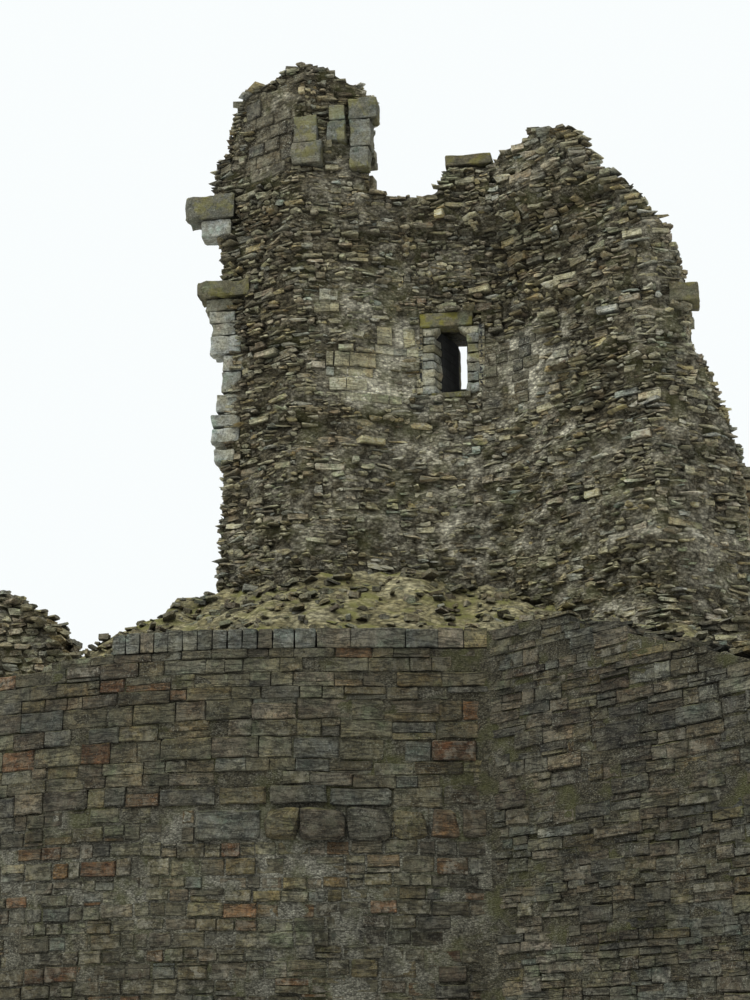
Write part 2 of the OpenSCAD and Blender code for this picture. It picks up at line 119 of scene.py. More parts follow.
world = bpy.data.worlds.new("overcast")
scene.world = world
world.use_nodes = True
sky = world.node_tree
sky.nodes.clear()
rays = add_node(sky, "ShaderNodeLightPath").outputs
shiny = add_node(sky, "ShaderNodeMath", {0: rays["Is Glossy Ray"], 1: rays["Is Transmission Ray"]}, operation="MAXIMUM")
seen = add_node(sky, "ShaderNodeMath", {0: rays["Is Camera Ray"], 1: shiny.outputs[0]}, operation="MAXIMUM")
lighting = add_node(sky, "ShaderNodeBackground", {"Color": (0.95, 0.98, 1, 1), "Strength": 0.45})
backdrop = add_node(sky, "ShaderNodeBackground", {"Color": (0.95, 0.985, 0.99, 1), "Strength": 1})
either = add_node(sky, "ShaderNodeMixShader", {
    "Fac": seen.outputs[0], 1: lighting.outputs[0], 2: backdrop.outputs[0]})
add_node(sky, "ShaderNodeOutputWorld", {"Surface": either.outputs[0]})
print("lamps", sorted(light.name for light in bpy.data.lights), "world nodes", len(sky.nodes))

# %% [markdown]
# ## Recipes for finishes
# Old masonry has no plain colour. Each finish below mixes several noises at
# different scales: slow ones for damp and soot, quick ones for grain, and
# stretched ones for the thin beds in the stone.


# %% The recipe class
class Recipe:
    """A procedural material built from nodes, a line for each node"""

    def __init__(self, name):
        self.material = bpy.data.materials.new(name)
        self.material.use_nodes = True
        self.tree = self.material.node_tree
        self.shader = self.tree.nodes["Principled BSDF"]
        self.object = self.node("ShaderNodeTexCoord").outputs["Object"]

    def node(self, kind, sockets=None, **settings):
        return add_node(self.tree, kind, sockets, **settings)

    def put(self, key, value):
        """Feeds a socket of the shader"""
        plug(self.tree, self.shader.inputs[key], value)

    def stretched(self, scale):
        return self.node("ShaderNodeMapping", {"Vector": self.object, "Scale": scale}).outputs[0]

    def noise(self, scale, detail=3.0, rough=0.5, twist=0.0, at=None):
        return self.node("ShaderNodeTexNoise", {
            "Vector": at or self.object, "Scale": scale, "Detail": detail, "Roughness": rough,
            "Distortion": twist}).outputs[0]

    def between(self, value, low, high, to_low=0.0, to_high=1.0):
        return self.node("ShaderNodeMapRange", {
            "Value": value, "From Min": low, "From Max": high, "To Min": to_low, "To Max": to_high}).outputs[0]

    def maths(self, operation, a, b):
        return self.node("ShaderNodeMath", {0: a, 1: b}, operation=operation).outputs[0]

    def times(self, first, *others):
        for other in others:
            first = self.maths("MULTIPLY", first, other)
        return first

    def mix(self, share, a, b, how="MIX"):
        return self.node("ShaderNodeMix", {0: share, 6: a, 7: b}, data_type="RGBA", blend_type=how).outputs[2]

    def shade(self, colour, strength):
        return self.node("ShaderNodeVectorMath", {0: colour, 3: strength}, operation="SCALE").outputs[0]

    def ramp(self, value, stops):
        made = self.node("ShaderNodeValToRGB", {"Fac": value})
        band = made.color_ramp
        while len(band.elements) < len(stops):
            band.elements.new(0.5)
        for element, (place, colour) in zip(band.elements, stops):
            element.position = place
            element.color = (*colour, 1)
        return made.outputs["Color"]

    def attribute(self, name):
        return self.node("ShaderNodeAttribute", attribute_name=name).outputs["Fac"]

    def facing_up(self):
        face = self.node("ShaderNodeNewGeometry").outputs["Normal"]
        return self.node("ShaderNodeSeparateXYZ", {0: face}).outputs["Z"]

    def arris(self):
        """1 on worn outer edges of a stone, 0 on its faces"""
        return self.between(self.node("ShaderNodeNewGeometry").outputs["Pointiness"], 0.52, 0.64)

    def no_paler(self, colour, limit):
        return self.node("ShaderNodeVectorMath", {0: colour, 1: limit}, operation="MINIMUM").outputs[0]

    def painted_gap_shade(self, reach):
        """Painted shade: 1 in the open, 0 deep in a gap, and the finishes darken their colour by it"""
        made = self.node("ShaderNodeAmbientOcclusion", {"Distance": reach}, samples=3)
        return self.between(made.outputs["AO"], 0.2, 0.8)

    def weather(self, strength):
        """Slow dark and light patches that run across stones and joints alike"""
        slow = self.between(self.noise(0.8, 5, 0.62, 0.6), 0.32, 0.68, 1 - strength, 1 + 0.8*strength)
        quick = self.between(self.noise(3.1, 5, 0.66, 0.4), 0.32, 0.68, 1 - 0.9*strength, 1 + 0.7*strength)
        return self.times(slow, quick)

    def fissures(self, strength):
        """Thin dark cracks that mostly follow the beds"""
        level = self.noise(1, 4, 0.6, 0.3, self.stretched((1.5, 1.5, 8)))
        off = self.maths("ABSOLUTE", self.maths("SUBTRACT", level, 0.5), 0.0)
        return self.between(off, 0.008, 0.05, 1 - strength, 1)

    def bump(self, height, distance):
        self.put("Normal", self.node("ShaderNodeBump", {"Height": height, "Distance": distance}).outputs[0])

    def colour(self, value):
        self.put("Base Color", value)


print("steps of a recipe", [name for name in vars(Recipe) if not name.startswith("_")])

# %% [markdown]
# ## Stone
# The keep mixes olive and brown sandstone, purple and blue-grey slate, and
# pale stones that still carry lime. Every stone gets two numbers: its tone,
# from black to pale, and its hue, which only tints the tone, because old
# stones differ less in colour than in brightness. Crusts of pale lichen
# sit on the faces and a green bloom on the ledges, lime smears stay where the
# stone once had a neighbour, worn edges are paler, and the gaps are darkened
# with painted shade. Weather darkens whole patches of wall, stones and joints alike.

# %% Tones and hues of the stones
TONES = [
    (0.0, (0.034, 0.028, 0.019)), (0.16, (0.074, 0.062, 0.041)), (0.32, (0.124, 0.108, 0.070)),
    (0.48, (0.176, 0.163, 0.106)), (0.63, (0.238, 0.223, 0.153)), (0.78, (0.325, 0.303, 0.220)),
    (0.90, (0.43, 0.405, 0.305)), (1.0, (0.54, 0.51, 0.41)),
]
# neutral, slate blue, purple, ochre, red and orange
HUES = [
    (0.0, (1, 1, 1)), (0.46, (1, 1, 1)), (0.52, (0.86, 0.95, 1.24)), (0.62, (0.86, 0.95, 1.24)),
    (0.66, (1.01, 0.92, 1.0)), (0.78, (1.01, 0.92, 1.0)), (0.80, (1.10, 1.0, 0.80)), (0.88, (1.10, 1.0, 0.80)),
    (0.90, (1.22, 0.88, 0.72)), (0.94, (1.38, 0.80, 0.62)), (0.97, (1.6, 0.98, 0.52)), (1.0, (1.6, 0.98, 0.52)),
]
print("tones", len(TONES), "hues", len(HUES))

# %% [markdown]
# One function mixes a stone finish. It starts from tone and hue, breaks them
# up with grain and beds, and then lays the traces of age over them one after
# the other. Last it paints shade into the gaps. No stone may get paler than
# old limewash, however many of the light patches meet on it.

# %% Stone finish
LIME = (0.46, 0.435, 0.35, 1)
DUST = (0.150, 0.139, 0.098)
PALEST = (0.60, 0.57, 0.47)


def stone_finish(name, bedding, bloom, crust, level, gold=0.0, streaks=0.0, weather=0.2, cracks=0.3):
    """Weathered stone.  level makes a whole wall lighter or darker, and the
    others say how strongly each trace of age shows"""
    r = Recipe(name)
    colour = r.mix(1.0, r.ramp(r.attribute("tint"), TONES), r.ramp(r.attribute("hue"), HUES), "MULTIPLY")
    stain = r.weather(weather)
    crack = r.fissures(cracks)
    patch = r.between(r.noise(7.5, 5, 0.68, 0.3), 0.3, 0.72, 0.58, 1.36)
    grain = r.between(r.noise(36, 5, 0.8), 0.28, 0.74, 0.55, 1.45)
    mottle = r.between(r.noise(17, 4, 0.72, 0.2), 0.34, 0.66, 0.62, 1.4)
    beds = r.between(r.noise(1, 4, 0.6, 0, r.stretched((4, 4, 46))), 0.3, 0.7, 1 - 0.26*bedding, 1 + 0.18*bedding)
    wash = r.between(r.noise(1, 5, 0.6, 0, r.stretched((3.4, 3.4, 0.3))), 0.35, 0.68, 1 - streaks, 1 + 0.25*streaks)
    colour = r.shade(colour, r.times(stain, patch, mottle, grain, beds, wash, crack, level))
    tinge = r.ramp(r.noise(1.7, 4, 0.62), [
        (0.34, (0.86, 1.03, 0.94)), (0.46, (1, 1, 1)), (0.56, (1.04, 1.0, 0.86)), (0.68, (1.15, 0.98, 0.84))])
    colour = r.mix(1.0, colour, tinge, "MULTIPLY")
    # lime left on the face
    smear = r.times(r.between(r.noise(6, 6, 0.72), 0.50, 0.58), r.attribute("lime"))
    colour = r.mix(smear, colour, LIME)
    # crusts of pale lichen in colonies, and black spots between them
    spots = r.between(r.noise(31, 4, 0.7, 0.2), 0.56, 0.62)
    colony = r.between(r.noise(1.1, 4, 0.55), 0.46, 0.60, 0.3, 1.0)
    colour = r.mix(r.times(spots, colony, crust), colour, (0.42, 0.42, 0.34, 1))
    black = r.times(r.between(r.noise(16, 4, 0.7, 0.2), 0.44, 0.36), 0.75)
    colour = r.mix(black, colour, (0.024, 0.022, 0.015, 1))
    # a yellow-green bloom on ledges and a dark one in the damp parts
    ledge = r.between(r.facing_up(), 0.3, 0.8)
    green = r.between(r.noise(3.1, 5, 0.62, 0.4), 0.44, 0.60)
    colour = r.mix(r.times(ledge, green, bloom), colour, (0.150, 0.146, 0.036, 1))
    damp = r.times(r.between(r.noise(0.55, 5, 0.62, 0.5), 0.52, 0.66), r.between(r.noise(9, 4, 0.6), 0.40, 0.62))
    colour = r.mix(r.times(damp, 0.75*bloom), colour, (0.075, 0.076, 0.026, 1))
    # yellow crust, mostly on dressed stone
    yellow = r.times(r.between(r.noise(1.9, 6, 0.7, 0.3), 0.50, 0.58), gold)
    colour = r.mix(yellow, colour, (0.27, 0.245, 0.045, 1))
    # dust of the mortar on the faces
    dust = r.times(r.between(r.noise(4.2, 6, 0.72, 0.3), 0.42, 0.62), 0.5)
    colour = r.mix(dust, colour, r.shade(DUST, r.times(grain, stain, crack, level)))
    colour = r.shade(colour, r.between(r.arris(), 0, 1, 0.97, 1.08))
    # painted shade: the colour is darkened in the gaps and hollows between stones
    air = r.painted_gap_shade(0.2)
    colour = r.shade(colour, r.between(air, 0, 1, 0.22, 1))
    r.colour(r.no_paler(colour, PALEST))
    r.put("Roughness", r.between(grain, 0.55, 1.45, 0.98, 0.80))
    r.put("Specular IOR Level", 0.22)
    height = r.maths("ADD", r.maths("ADD", r.times(grain, 0.55), r.times(beds, 1.1)), r.maths("ADD", patch, crack))
    r.bump(height, 0.03)
    return r.material


# %% [markdown]
# The same function gives every stone of the keep: only the strength of each
# trace differs. The bare core is pale with lime, the coursed walls are dark
# with soot and damp, and the dressed stones are smooth, with yellow crusts.


# %% The stones of the keep
rubble_stone = stone_finish("rubble_stone", 1.2, 0.6, 1.0, 2.55, weather=0.28, cracks=0.45)
coursed_stone = stone_finish("coursed_stone", 1.0, 0.4, 0.35, 0.92, streaks=0.25, weather=0.4, cracks=0.6)
dark_stone = stone_finish("dark_stone", 1.1, 0.6, 0.5, 0.84, streaks=0.2, weather=0.46, cracks=0.7)
fallen_stone = stone_finish("fallen_stone", 0.8, 0.9, 0.6, 1.4)
plain_stone = stone_finish("plain_stone", 0.8, 0.5, 0.5, 1.15, streaks=0.25, weather=0.3, cracks=0.45)
dressed_stone = stone_finish("dressed_stone", 0.4, 0.7, 0.6, 1.05, gold=0.45, cracks=0.15)
pale_stone = stone_finish("pale_stone", 0.4, 0.35, 0.6, 1.5, gold=0.1, cracks=0.15)
lichened_stone = stone_finish("lichened_stone", 0.4, 0.8, 0.4, 1.05, gold=0.9, cracks=0.15)
print("finishes so far", len(bpy.data.materials))

# %% [markdown]
# ## Mortar and earth
# Between the stones shows a soft, gritty lime mortar. Where rain reaches it
# it has gone brown and green, and where a stone fell off lately it is still
# pale. The number "lime" on the mesh says how pale a place is. The heap is
# the same mortar and broken stone turned to earth, with pebbles in it.


# %% Mortar and earth finishes
def mortar_finish(name, dark, pale, level, pebbles, bloom=0.5, green=(0.085, 0.088, 0.030)):
    """Gritty mortar from dark to pale, with pebbles so many to the metre"""
    r = Recipe(name)
    lime = r.maths("ADD", r.attribute("lime"), r.between(r.noise(2.6, 6, 0.66, 0.4), 0.35, 0.68, -0.35, 0.4))
    colour = r.mix(r.between(lime, 0.1, 0.9), dark + (1,), pale + (1,))
    grit = r.between(r.noise(44, 5, 0.8), 0.3, 0.72, 0.5, 1.4)
    lumps = r.node("ShaderNodeTexVoronoi", {"Vector": r.stretched((pebbles, pebbles, 1.8*pebbles)), "Scale": 1.0})
    # painted light and shade: each pebble is lighter in its middle and darker at its rim, following the bump that
    # raises it
    hollow = r.between(lumps.outputs["Distance"], 0.1, 0.8, 1.25, 0.45)
    own = r.between(r.node("ShaderNodeSeparateXYZ", {0: lumps.outputs["Color"]}).outputs["X"], 0, 1, 0.5, 1.6)
    colour = r.shade(colour, r.times(grit, hollow, own, r.weather(0.3), level))
    flecks = r.times(r.between(r.noise(34, 4, 0.7), 0.57, 0.62), r.between(r.noise(1.3, 4, 0.6), 0.4, 0.6, 0.2, 1))
    colour = r.mix(r.times(flecks, 0.8), colour, pale + (1,))
    damp = r.between(r.noise(1.4, 5, 0.6), 0.50, 0.62, 0, bloom)
    speckled = r.ramp(grit, [(0.4, (0.5, 0.5, 0.5)), (1, (1.4, 1.4, 1.4))])
    colour = r.mix(damp, colour, r.mix(1.0, green + (1,), speckled, "MULTIPLY"))
    # painted shade: the mortar and earth are darkened in joints and hollows
    colour = r.shade(colour, r.between(r.painted_gap_shade(0.3), 0, 1, 0.2, 1))
    r.colour(colour)
    r.put("Roughness", r.between(grit, 0.5, 1.4, 1.0, 0.86))
    r.put("Specular IOR Level", 0.15)
    r.bump(r.maths("ADD", grit, r.times(hollow, 1.4)), 0.03)
    return r.material


core_mortar = mortar_finish("core_mortar", (0.102, 0.088, 0.057), (0.51, 0.48, 0.38), 1.5, 12.0)
joint_mortar = mortar_finish("joint_mortar", (0.090, 0.081, 0.055), (0.27, 0.26, 0.21), 1.1, 26.0)
earth = mortar_finish("earth", (0.19, 0.165, 0.085), (0.34, 0.31, 0.20), 1.5, 9.0, 0.9, (0.17, 0.165, 0.055))
print("finishes so far", len(bpy.data.materials))

# %% [markdown]
# Inside the window the passage is plain squared masonry, in deep shade, and
# that shade is painted into its colour: stones and joints are near black. The
# CAD walls of the passage have the right shape, so they stay, and a
# procedural bond draws their courses.


# %% Passage finish
def paint_passage_shade():
    """Coursed stone with its shade painted in as a near-black colour; the bond runs along both walls and up"""
    r = Recipe("passage_stone")
    axes = r.node("ShaderNodeSeparateXYZ", {0: r.object}).outputs
    along = r.maths("ADD", axes["X"], axes["Y"])
    flat = r.node("ShaderNodeCombineXYZ", {"X": along, "Y": axes["Z"]}).outputs[0]
    bond = r.node("ShaderNodeTexBrick", {
        # painted shade: stones and joints of the bond are near black
        "Vector": flat, "Color1": (0.034, 0.034, 0.033, 1), "Color2": (0.021, 0.022, 0.022, 1),
        "Mortar": (0.016, 0.016, 0.014, 1), "Scale": 1.0, "Mortar Size": 0.012, "Mortar Smooth": 0.4,
        "Brick Width": 0.46, "Row Height": 0.21})
    grain = r.between(r.noise(30, 5, 0.8), 0.3, 0.72, 0.5, 1.4)
    patch = r.between(r.noise(4, 5, 0.65), 0.3, 0.7, 0.55, 1.25)
    r.colour(r.shade(bond.outputs["Color"], r.times(grain, patch)))
    r.put("Roughness", r.between(grain, 0.5, 1.4, 0.98, 0.82))
    r.bump(r.maths("SUBTRACT", r.times(grain, 0.4), bond.outputs["Fac"]), 0.02)
    return r.material


passage_stone = paint_passage_shade()
# the passage walls get the near-black painted shade
for node in ("window_cheek_left", "window_cheek_right"):
    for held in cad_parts[node].material_slots:
        held.material = passage_stone
    print(node, "keeps its CAD mesh")

# %% [markdown]
# The floor is one big pale face with a faint cloudiness, laid at the foot of
# the walls. It is not tied to the body of the keep.

# %% Floor
r = Recipe("pale_floor")
r.colour(r.ramp(r.noise(0.6, 3, 0.5), [(0.3, (0.60, 0.60, 0.59)), (0.7, (0.64, 0.64, 0.63))]))
r.put("Roughness", r.between(r.noise(9, 3), 0.3, 0.7, 0.85, 0.95))
data = bpy.data.meshes.new("floor")
data.from_pydata([(-150, -150, 0), (150, -150, 0), (150, 150, 0), (-150, 150, 0)], [], [(0, 1, 2, 3)])
data.materials.append(r.material)
floor = bpy.data.objects.new("floor", data)
scene.collection.objects.link(floor)
print("floor", [round(side) for side in floor.dimensions], "m")

# %% [markdown]
# ## The plan in metres
# The stones follow the same plan as the CAD model, so the plan's few sizes
# and rules are written here again. Every wall line is walked with the
# outside on its right, which makes "outward" the same rule everywhere.

# %% The plan
# height of the base stage, rear face, wall thickness and radius of the round front
FOOT = 9.0
REAR = 5.6
WALL_T = 1.8
FRONT_R = 11.0
FRONT_CENTRE = np.array([-2.0, REAR - 8.56 + FRONT_R])
# the arc starts this far left of its middle and is walked in small turns
ARC_START, ARC_TURN, ARC_POINTS = 40, 0.9, 57
# where the round part ends, the straight part's length, and the spur's turn and length
ARC_END, STRAIGHT, SPUR_TURN, SPUR_LONG = -10.4, 2.92, -36.5, 6.12


def arc_point(degrees):
    """Point on the round front, counted from its middle, positive to the left"""
    a = math.radians(degrees)
    return FRONT_CENTRE - FRONT_R*np.array([math.sin(a), math.cos(a)])


def turned(degrees, length):
    a = math.radians(degrees)
    return length*np.array([math.cos(a), math.sin(a)])


ARC = [arc_point(ARC_START - ARC_TURN*i) for i in range(ARC_POINTS)]
INNER_CORNER = arc_point(ARC_END) + turned(-ARC_END, STRAIGHT)
SPUR_END = INNER_CORNER + turned(SPUR_TURN, SPUR_LONG)
LEFT_X = float(ARC[0][0])
RIGHT_X = float(SPUR_END[0])
OUTLINE = [*ARC, INNER_CORNER, SPUR_END, np.array([RIGHT_X, REAR]), np.array([LEFT_X, REAR])]
SHIFT = np.array([-(LEFT_X + RIGHT_X)/2, -(SPUR_END[1] + REAR)/2, 0.0])

# %% [markdown]
# A wall is laid by walking along its foot. For that, a line must tell which
# point lies at a distance along it, and which way it runs there.


# %% Walking a wall line
def unit(a, b):
    run = np.array(b) - np.array(a)
    return run/np.hypot(*run)


def left_of(run):
    """The direction square to a run, toward the inside"""
    return np.array([-run[1], run[0]])


class Line:
    """A run in plan that can be walked by distance"""

    def __init__(self, points):
        self.points = np.array(points, float)
        steps = np.hypot(*np.diff(self.points, axis=0).T)
        self.marks = np.concatenate([[0], np.cumsum(steps)])
        self.length = float(self.marks[-1])

    def at(self, s):
        """The point at distance s, and the direction there"""
        i = min(max(int(np.searchsorted(self.marks, s)) - 1, 0), len(self.points) - 2)
        run = unit(self.points[i], self.points[i + 1])
        return self.points[i] + run*(s - self.marks[i]), run


front_line = Line(ARC + [INNER_CORNER])
spur_line = Line([INNER_CORNER, SPUR_END])
right_line = Line([SPUR_END, (RIGHT_X, REAR)])
rear_line = Line([(RIGHT_X, REAR), (LEFT_X, REAR)])
left_line = Line([(LEFT_X, REAR), ARC[0]])
print("front", round(front_line.length, 2), "spur", round(spur_line.length, 2), "right",
      round(right_line.length, 2))

# %% [markdown]
# ## A box of stones
# Thousands of stones can share a few shapes if each copy is scaled and
# turned. Four kinds are needed: thin flags with pointed, broken ends for
# the core, squared blocks with a worn arris for the coursed walls, broken
# lumps for the fallen rubble, and a few rounded boulders for the band of
# big stones. Seen from the front a flag or a block is an uneven outline. It
# is drawn once for the face and once, smaller, for the tail in the wall.
# Each shape is one unit long, deep and high, with its face at y = 0.

# %% Flags and blocks
shapes = bpy.data.collections.new("stone_shapes")
FLAGS, BLOCKS, LUMPS, BOULDERS = range(0, 14), range(14, 26), range(26, 34), range(34, 38)


def mesh_data(name, mesh):
    """Turns an edited mesh into mesh data with a name"""
    data = bpy.data.meshes.new(name)
    mesh.to_mesh(data)
    mesh.free()
    return data


def keep_shape(number, mesh):
    bmesh.ops.recalc_face_normals(mesh, faces=mesh.faces)
    name = f"shape_{number:02d}"
    data = mesh_data(name, mesh)
    shapes.objects.link(bpy.data.objects.new(name, data))
    data.calc_loop_triangles()
    return len(data.loop_triangles)


def prism_shape(number, outline, arris, rough, tail, dice):
    """A stone from its outline.  arris is the width of the worn edge, or 0"""
    mesh = bmesh.new()

    def ring(scale, y, shake):
        return [mesh.verts.new((x*scale, y + shake*dice.uniform(-1, 1), z*scale)) for x, z in outline]

    def bridge(a, b):
        for i in range(len(a)):
            j = (i + 1) % len(a)
            mesh.faces.new((a[i], a[j], b[j], b[i]))

    tail_ring = ring(tail, 1, 0)
    edge = ring(1, arris + rough, rough)
    bridge(tail_ring, edge)
    mesh.faces.new(reversed(tail_ring))
    face = edge
    if arris:
        face = ring(1, 0, 0.5*rough)
        for v in face:
            v.co.x -= math.copysign(min(arris, 0.4*abs(v.co.x)), v.co.x)
            v.co.z -= math.copysign(min(arris*1.6, 0.4*abs(v.co.z)), v.co.z)
        bridge(edge, face)
    middle = mesh.verts.new((
        dice.uniform(-0.25, 0.25), arris/2 + rough*dice.uniform(-0.2, 0.9), dice.uniform(-0.2, 0.2)))
    for i in range(len(face)):
        mesh.faces.new((face[i], face[(i + 1) % len(face)], middle))
    return keep_shape(number, mesh)


def flag_outline(dice):
    """Eight points: a long thin stone with a jagged break at each end"""
    u = dice.uniform
    return [
        (u(-0.5, -0.44), u(0.0, 0.42)), (u(-0.34, -0.18), u(0.34, 0.5)), (u(0.0, 0.2), u(0.3, 0.5)),
        (u(0.34, 0.48), u(0.1, 0.5)), (0.5, u(-0.45, 0.0)), (u(0.14, 0.34), u(-0.5, -0.34)),
        (u(-0.16, 0.04), u(-0.5, -0.3)), (u(-0.46, -0.3), u(-0.5, -0.2))]


def block_outline(dice):
    """Twelve points: a squared stone with knocked corners and uneven beds"""
    out = []
    for sx, sz in ((-1, 1), (1, 1), (1, -1), (-1, -1)):
        a, b = dice.uniform(0.01, 0.13)*dice.uniform(0.3, 1), dice.uniform(0.02, 0.26)*dice.uniform(0.3, 1)
        corner = [(sx*(0.5 - a), sz*dice.uniform(0.44, 0.5)), (sx*dice.uniform(0.465, 0.5), sz*(0.5 - b))]
        out += corner if sx == sz else corner[::-1]
        if sx != sz:
            out += [(side*dice.uniform(0.1, 0.28), sz*dice.uniform(0.41, 0.5)) for side in (sx, -sx)]
    return out


dice = random.Random(11)
print("flags", [prism_shape(n, flag_outline(dice), 0, 0.14, 0.8, dice) for n in FLAGS], "triangles")
print("blocks", [prism_shape(n, block_outline(dice), 0.035, 0.035, 0.9, dice) for n in BLOCKS], "triangles")

# %% [markdown]
# A broken lump is the hull of a few points thrown round a ball, which gives
# flat facets as a hammer does. A boulder is a ball pushed toward a cube and
# then dented by noise, because rain and frost round the corners first.


# %% Lumps and boulders
def lump_shape(number, dice):
    mesh = bmesh.new()
    for _ in range(15):
        spot = Vector([dice.gauss(0, 1) for _ in range(3)]).normalized()*dice.uniform(0.5, 0.62)
        mesh.verts.new(spot + Vector((0, 0.5, 0)))
    hull = bmesh.ops.convex_hull(mesh, input=mesh.verts)
    bmesh.ops.delete(mesh, geom=hull["geom_interior"], context="VERTS")
    return keep_shape(number, mesh)


def boulder_shape(number, dice):
    """A squared ball, pushed about by noise"""
    mesh = bmesh.new()
    bmesh.ops.create_icosphere(mesh, subdivisions=2, radius=1)
    spot = Vector((number*7.3, 0, 0))
    for v in mesh.verts:
        squared = Vector([math.copysign(0.5*abs(c)**0.5, c) for c in v.co])
        v.co = squared*(1 + 0.35*noise.noise(v.co*1.1 + spot)) + Vector((0, 0.5, 0))
    return keep_shape(number, mesh)


print("lumps", [lump_shape(n, dice) for n in LUMPS], "triangles")
print("boulders", [boulder_shape(n, dice) for n in BOULDERS], "triangles")

# %% [markdown]
# ## The tree that lays stones
# One Geometry Nodes tree lays every wall. It takes a cloud of places, each
# with a turn, a size and the number of a shape, puts a stone on each, gives
# it a small turn and change of size of its own from a fixed seed, and makes
# the result real. The mortar core behind the stones joins at the end, so
# that a finished piece is a single mesh.


# %% Helpers for node trees
class Wiring:
    """A Geometry Nodes tree with named inputs, a line for each node"""

    def __init__(self, name, inputs, output):
        self.tree = bpy.data.node_groups.new(name, "GeometryNodeTree")
        self.keys = {}
        for key, kind in inputs:
            socket = self.tree.interface.new_socket(key, in_out="INPUT", socket_type="NodeSocket" + kind)
            self.keys[key] = socket.identifier
        self.tree.interface.new_socket(output, in_out="OUTPUT", socket_type="NodeSocketGeometry")
        self.given = self.tree.nodes.new("NodeGroupInput").outputs

    def add(self, kind, sockets=None, out=0, **settings):
        return add_node(self.tree, kind, sockets, **settings).outputs[out]

    def maths(self, operation, a, b):
        return self.add("ShaderNodeMath", {0: a, 1: b}, operation=operation)

    def vectors(self, operation, a, b):
        return self.add("ShaderNodeVectorMath", {0: a, 1: b}, operation=operation)

    def named(self, name, kind):
        return self.add("GeometryNodeInputNamedAttribute", {"Name": name}, data_type=kind)

    def chance(self, seed_step, low, high, kind="FLOAT"):
        """A random value from low to high, with a seed of its own"""
        seed = self.maths("ADD", self.given["Seed"], seed_step)
        made = self.tree.nodes.new("FunctionNodeRandomValue")
        made.data_type = kind
        ends = [s for s in made.inputs if s.enabled and s.name in ("Min", "Max")]
        for socket, value in zip(ends, (low, high)):
            plug(self.tree, socket, value)
        self.tree.links.new(seed, made.inputs["Seed"])
        return next(s for s in made.outputs if s.enabled)

    def pieces(self, collection):
        """The shapes of a collection as instances to pick from"""
        return self.add("GeometryNodeCollectionInfo", {
            "Collection": collection, "Separate Children": True, "Reset Children": True})

    def finish(self, geometry, material, joined):
        """Makes the stones real, gives them their finish and adds the core"""
        real = self.add("GeometryNodeRealizeInstances", {0: geometry})
        painted = self.add("GeometryNodeSetMaterial", {"Geometry": real, "Material": material})
        both = self.tree.nodes.new("GeometryNodeJoinGeometry")
        self.tree.links.new(joined, both.inputs[0])
        self.tree.links.new(painted, both.inputs[0])
        self.tree.links.new(both.outputs[0], self.tree.nodes.new("NodeGroupOutput").inputs[0])


print("steps of a tree", [name for name in vars(Wiring) if not name.startswith("_")])

# %% [markdown]
# The laying tree reads three attributes of each place: turn, size and pick
# say how a stone lies and which shape it is. Tint, hue and lime are only
# carried over to the stone, for its finish to read.

# %% The laying tree
laying = Wiring("laid_stones", (
    ("Places", "Geometry"), ("Shapes", "Collection"), ("Core", "Object"), ("Own turn", "Float"),
    ("Own size", "Float"), ("Seed", "Int"), ("Finish", "Material")), "Masonry")
given = laying.given
turn_low = laying.maths("SUBTRACT", 0.0, given["Own turn"])
own_turn = laying.chance(1, turn_low, given["Own turn"], "FLOAT_VECTOR")
own_size = laying.chance(2, laying.maths("SUBTRACT", 1.0, given["Own size"]),
                         laying.maths("ADD", 1.0, given["Own size"]), "FLOAT_VECTOR")
rotation = laying.add("FunctionNodeEulerToRotation", {
    0: laying.vectors("ADD", laying.named("turn", "FLOAT_VECTOR"), own_turn)})
laid = laying.add("GeometryNodeInstanceOnPoints", {
    "Points": given["Places"], "Instance": laying.pieces(given["Shapes"]), "Pick Instance": True,
    "Instance Index": laying.named("pick", "INT"), "Rotation": rotation,
    "Scale": laying.vectors("MULTIPLY", laying.named("size", "FLOAT_VECTOR"), own_size)})
core = laying.add("GeometryNodeObjectInfo", {"Object": given["Core"]}, out="Geometry")
laying.finish(laid, given["Finish"], core)
print("laying tree", len(laying.tree.nodes), "nodes")

# %% [markdown]
# Every piece is made the same way: a holder object gets the places, the tree
# grows stones on them, the result becomes a plain mesh, the piece is tied to
# the body, and the CAD nodes that it stands for are hidden.

# %% Pieces and their tally
TALLY = {}


def new_object(name, data):
    made = bpy.data.objects.new(name, data)
    scene.collection.objects.link(made)
    return made


def store(data, key, values):
    """Writes one number for each point of a mesh"""
    data.attributes.new(key, "FLOAT", "POINT").data.foreach_set("value", values)


def finish_piece(piece, slot, *nodes):
    """The piece rides on the body and stands for its CAD nodes"""
    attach(piece, BODY)
    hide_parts(*nodes)
    piece.data.calc_loop_triangles()
    TALLY[piece.name] = len(piece.data.loop_triangles)
    print(piece.name, TALLY[piece.name], "triangles")


def grow(holder, wiring, inputs):
    """Runs a node tree on an object and keeps the result as its mesh"""
    work = holder.modifiers.new(wiring.tree.name, "NODES")
    work.node_group = wiring.tree
    for key, value in inputs.items():
        work[wiring.keys[key]] = value
    bpy.context.view_layer.update()
    made = bpy.data.meshes.new_from_object(holder.evaluated_get(bpy.context.evaluated_depsgraph_get()))
    holder.modifiers.clear()
    holder.data = made
    made.name = holder.name
    for key in ("turn", "size", "pick"):
        if key in made.attributes:
            made.attributes.remove(made.attributes[key])


def smooth(value, low, high):
    """0 up to low, 1 from high on, and a soft step between"""
    t = min(max((value - low)/(high - low), 0), 1)
    return t*t*(3 - 2*t)


